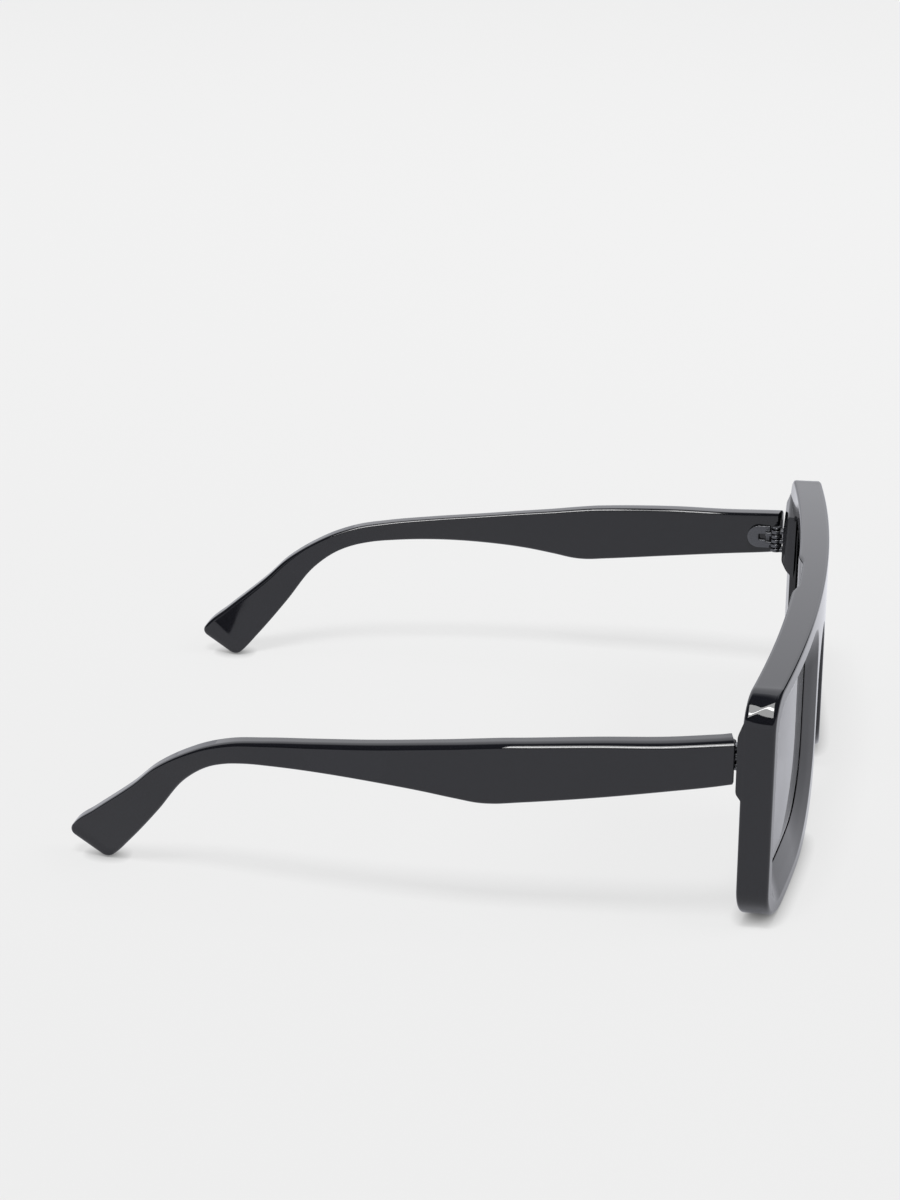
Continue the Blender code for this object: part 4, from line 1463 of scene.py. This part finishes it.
@dataclass
class Studio:
    """Pale floor, soft studio light and the photograph's camera."""

    LAMPS = (
        Lamp("key_box", 4.0, 53.0, 2.4, (26.0, 44.0), 8.0, diffuse=False),
        Lamp("key_tube", 4.0, 52.0, 2.3, (24.0, 6.0), 26.0, diffuse=False),
        Lamp("key_light", 4.0, 70.0, 2.5, (18.0, 14.0), 45.0, glossy=False),
        Lamp("far_box", 165.0, 37.0, 2.6, (84.0, 50.0), 0.4, diffuse=False),
        Lamp("front_fill", -90.0, 45.0, 2.0, (30.0, 20.0), 5.0, glossy=False))

    pale: float = 0.855
    ambient: float = 0.46
    floor_span: Pair = (-0.70, 3.2)
    floor_side: float = 2.0
    floor_drop: float = 0.00002
    floor_hold: float = 0.82
    floor_tone: tuple[Pair, Pair] = ((-0.35, 0.75), (0.48, 0.76))
    # Painted contact shadow: ambient occlusion within this reach, raised to this power, darkens
    # the floor's pale glow near the glasses.
    painted_shadow_reach: float = 0.003
    painted_shadow_power: float = 0.7
    cool_floor: Colour = (0.97, 0.98, 1.06, 1.0)
    cool_room: Colour = (0.98, 0.99, 1.06, 1.0)
    dim: float = 0.015
    sweep: tuple[Pair, Pair, Pair] = ((0.15, 0.35), (-0.50, -0.42), (0.84, 0.97))
    wall: tuple[Pair, Pair] = ((0.0, -0.2), (0.13, 0.17))
    place: Triple = (-0.58918, -0.09739, 0.27538)
    right: Triple = (0.177151, -0.984184, 0.000352)
    up: Triple = (0.369408, 0.066824, 0.926861)
    lens: float = 89.657
    sensor: float = 36.0
    centre: Pair = (433.465, 626.129)
    clip: Pair = (0.01, 20.0)

    def floor(self) -> None:
        """Lay the pale floor: its diffuse share takes the object's real shadow, and its glow
        carries a painted contact shadow.
        """
        rows = [np.array([(x, -self.floor_side, 0.0), (x, self.floor_side, 0.0)])
                for x in np.linspace(*self.floor_span, 5)]
        thing = placed("floor", Shell().grid(rows, closed=False).mesh("floor"))
        thing.data.transform(Matrix.Translation((0.0, 0.0, -self.floor_drop)))
        paper = bpy.data.materials.new("pale_paper")
        paper.use_nodes = True
        graph = Graph(paper.node_tree)
        path = graph.add("ShaderNodeLightPath").outputs
        shown = graph.calc("MAXIMUM", path["Is Camera Ray"], graph.calc(
            "MAXIMUM", path["Is Glossy Ray"], path["Is Transmission Ray"]))
        along, tones = self.floor_tone
        tone = graph.ramp(graph.axes(graph.coordinate())["X"], *along, *tones)
        grey = graph.out("ShaderNodeCombineColor", Red=tone, Green=tone, Blue=tone)
        mute = graph.out("ShaderNodeBsdfDiffuse", Color=grey)
        # Painted shadow: ambient occlusion darkens the floor's glow where the glasses stand close;
        # only the diffuse share takes real shade.
        near = graph.add("ShaderNodeAmbientOcclusion", samples=16, Distance=self.painted_shadow_reach)
        level = graph.times(graph.calc("POWER", near.outputs["AO"], self.painted_shadow_power),
                            self.pale)
        tint = graph.blend(path["Is Glossy Ray"], WHITE, self.cool_floor)
        bright = graph.out("ShaderNodeEmission", Color=tint, Strength=level)
        mixed = graph.add("ShaderNodeMixShader")
        for index, value in enumerate((graph.times(shown, self.floor_hold), mute, bright)):
            graph.feed(mixed.inputs[index], value)
        graph.feed(graph.add("ShaderNodeOutputMaterial").inputs[0], mixed.outputs[0])
        thing.data.materials.append(paper)

    def world(self) -> None:
        """Set the room: pale to the camera, and dim in reflections but for a sweep and a wall."""
        world = bpy.data.worlds.new("studio")
        bpy.context.scene.world = world
        world.use_nodes = True
        graph = Graph(world.node_tree)
        way = graph.axes(graph.coordinate("Generated"))
        path = graph.add("ShaderNodeLightPath").outputs
        (left, front, high), (back, low) = self.sweep, self.wall
        sweep = graph.times(graph.ramp(way["X"], *left), graph.times(
            graph.ramp(way["Y"], *front), graph.ramp(way["Z"], *high, 1.0, 0.0)))
        wall = graph.times(graph.ramp(way["X"], *back, 0.0, self.pale),
                           graph.ramp(way["Z"], *low, 1.0, 0.0))
        room = graph.plus(graph.plus(sweep, self.dim), wall)
        plain = graph.calc("MAXIMUM", path["Is Camera Ray"], path["Is Transmission Ray"])
        lit = graph.times(room, path["Is Glossy Ray"])
        rest = graph.minus(graph.minus(1.0, plain), path["Is Glossy Ray"])
        value = graph.plus(graph.times(plain, self.pale),
                           graph.plus(lit, graph.times(rest, self.ambient)))
        tint = graph.blend(path["Is Glossy Ray"], WHITE, self.cool_room)
        sky = graph.out("ShaderNodeBackground", Color=tint, Strength=value)
        graph.feed(graph.add("ShaderNodeOutputWorld").inputs[0], sky)

    def camera(self) -> None:
        """Stand the camera where the photograph was taken from."""
        data = bpy.data.cameras.new("camera")
        data.sensor_fit = "VERTICAL"
        data.sensor_height, data.lens = self.sensor, self.lens
        data.shift_x = (IMAGE_WIDTH / 2 - self.centre[0]) / IMAGE_HEIGHT
        data.shift_y = (self.centre[1] - IMAGE_HEIGHT / 2) / IMAGE_HEIGHT
        data.clip_start, data.clip_end = self.clip
        thing = placed("camera", data)
        right, up = Vector(self.right).normalized(), Vector(self.up).normalized()
        turn = Matrix((right, up, right.cross(up))).transposed()
        thing.matrix_world = Matrix.Translation(self.place) @ turn.to_4x4()
        bpy.context.scene.camera = thing

    def build(self) -> None:
        """Set the whole studio up."""
        self.floor()
        self.world()
        for lamp in self.LAMPS:
            lamp.hang()
        self.camera()


@dataclass
class Sunglasses:
    """The whole object, from its sub-assemblies."""

    layout: Layout = field(default_factory=Layout)

    def build(self) -> None:
        """Make every sub-assembly in order."""
        shop = Workshop.opened()
        front = FrontMoulding(shop, self.layout)
        front.build()
        for side in Side:
            Lens(shop, self.layout, side, front).build()
            for kind in (NosePad, Temple, Hinge):
                kind(shop, self.layout, side).build()


def main() -> None:
    """Build the studio and the glasses."""
    logging.basicConfig(level=logging.INFO, format="%(name)s: %(message)s")
    scene = bpy.context.scene
    scene.view_settings.view_transform = "Standard"
    Studio().build()
    Sunglasses().build()


if __name__ == "__main__":
    main()
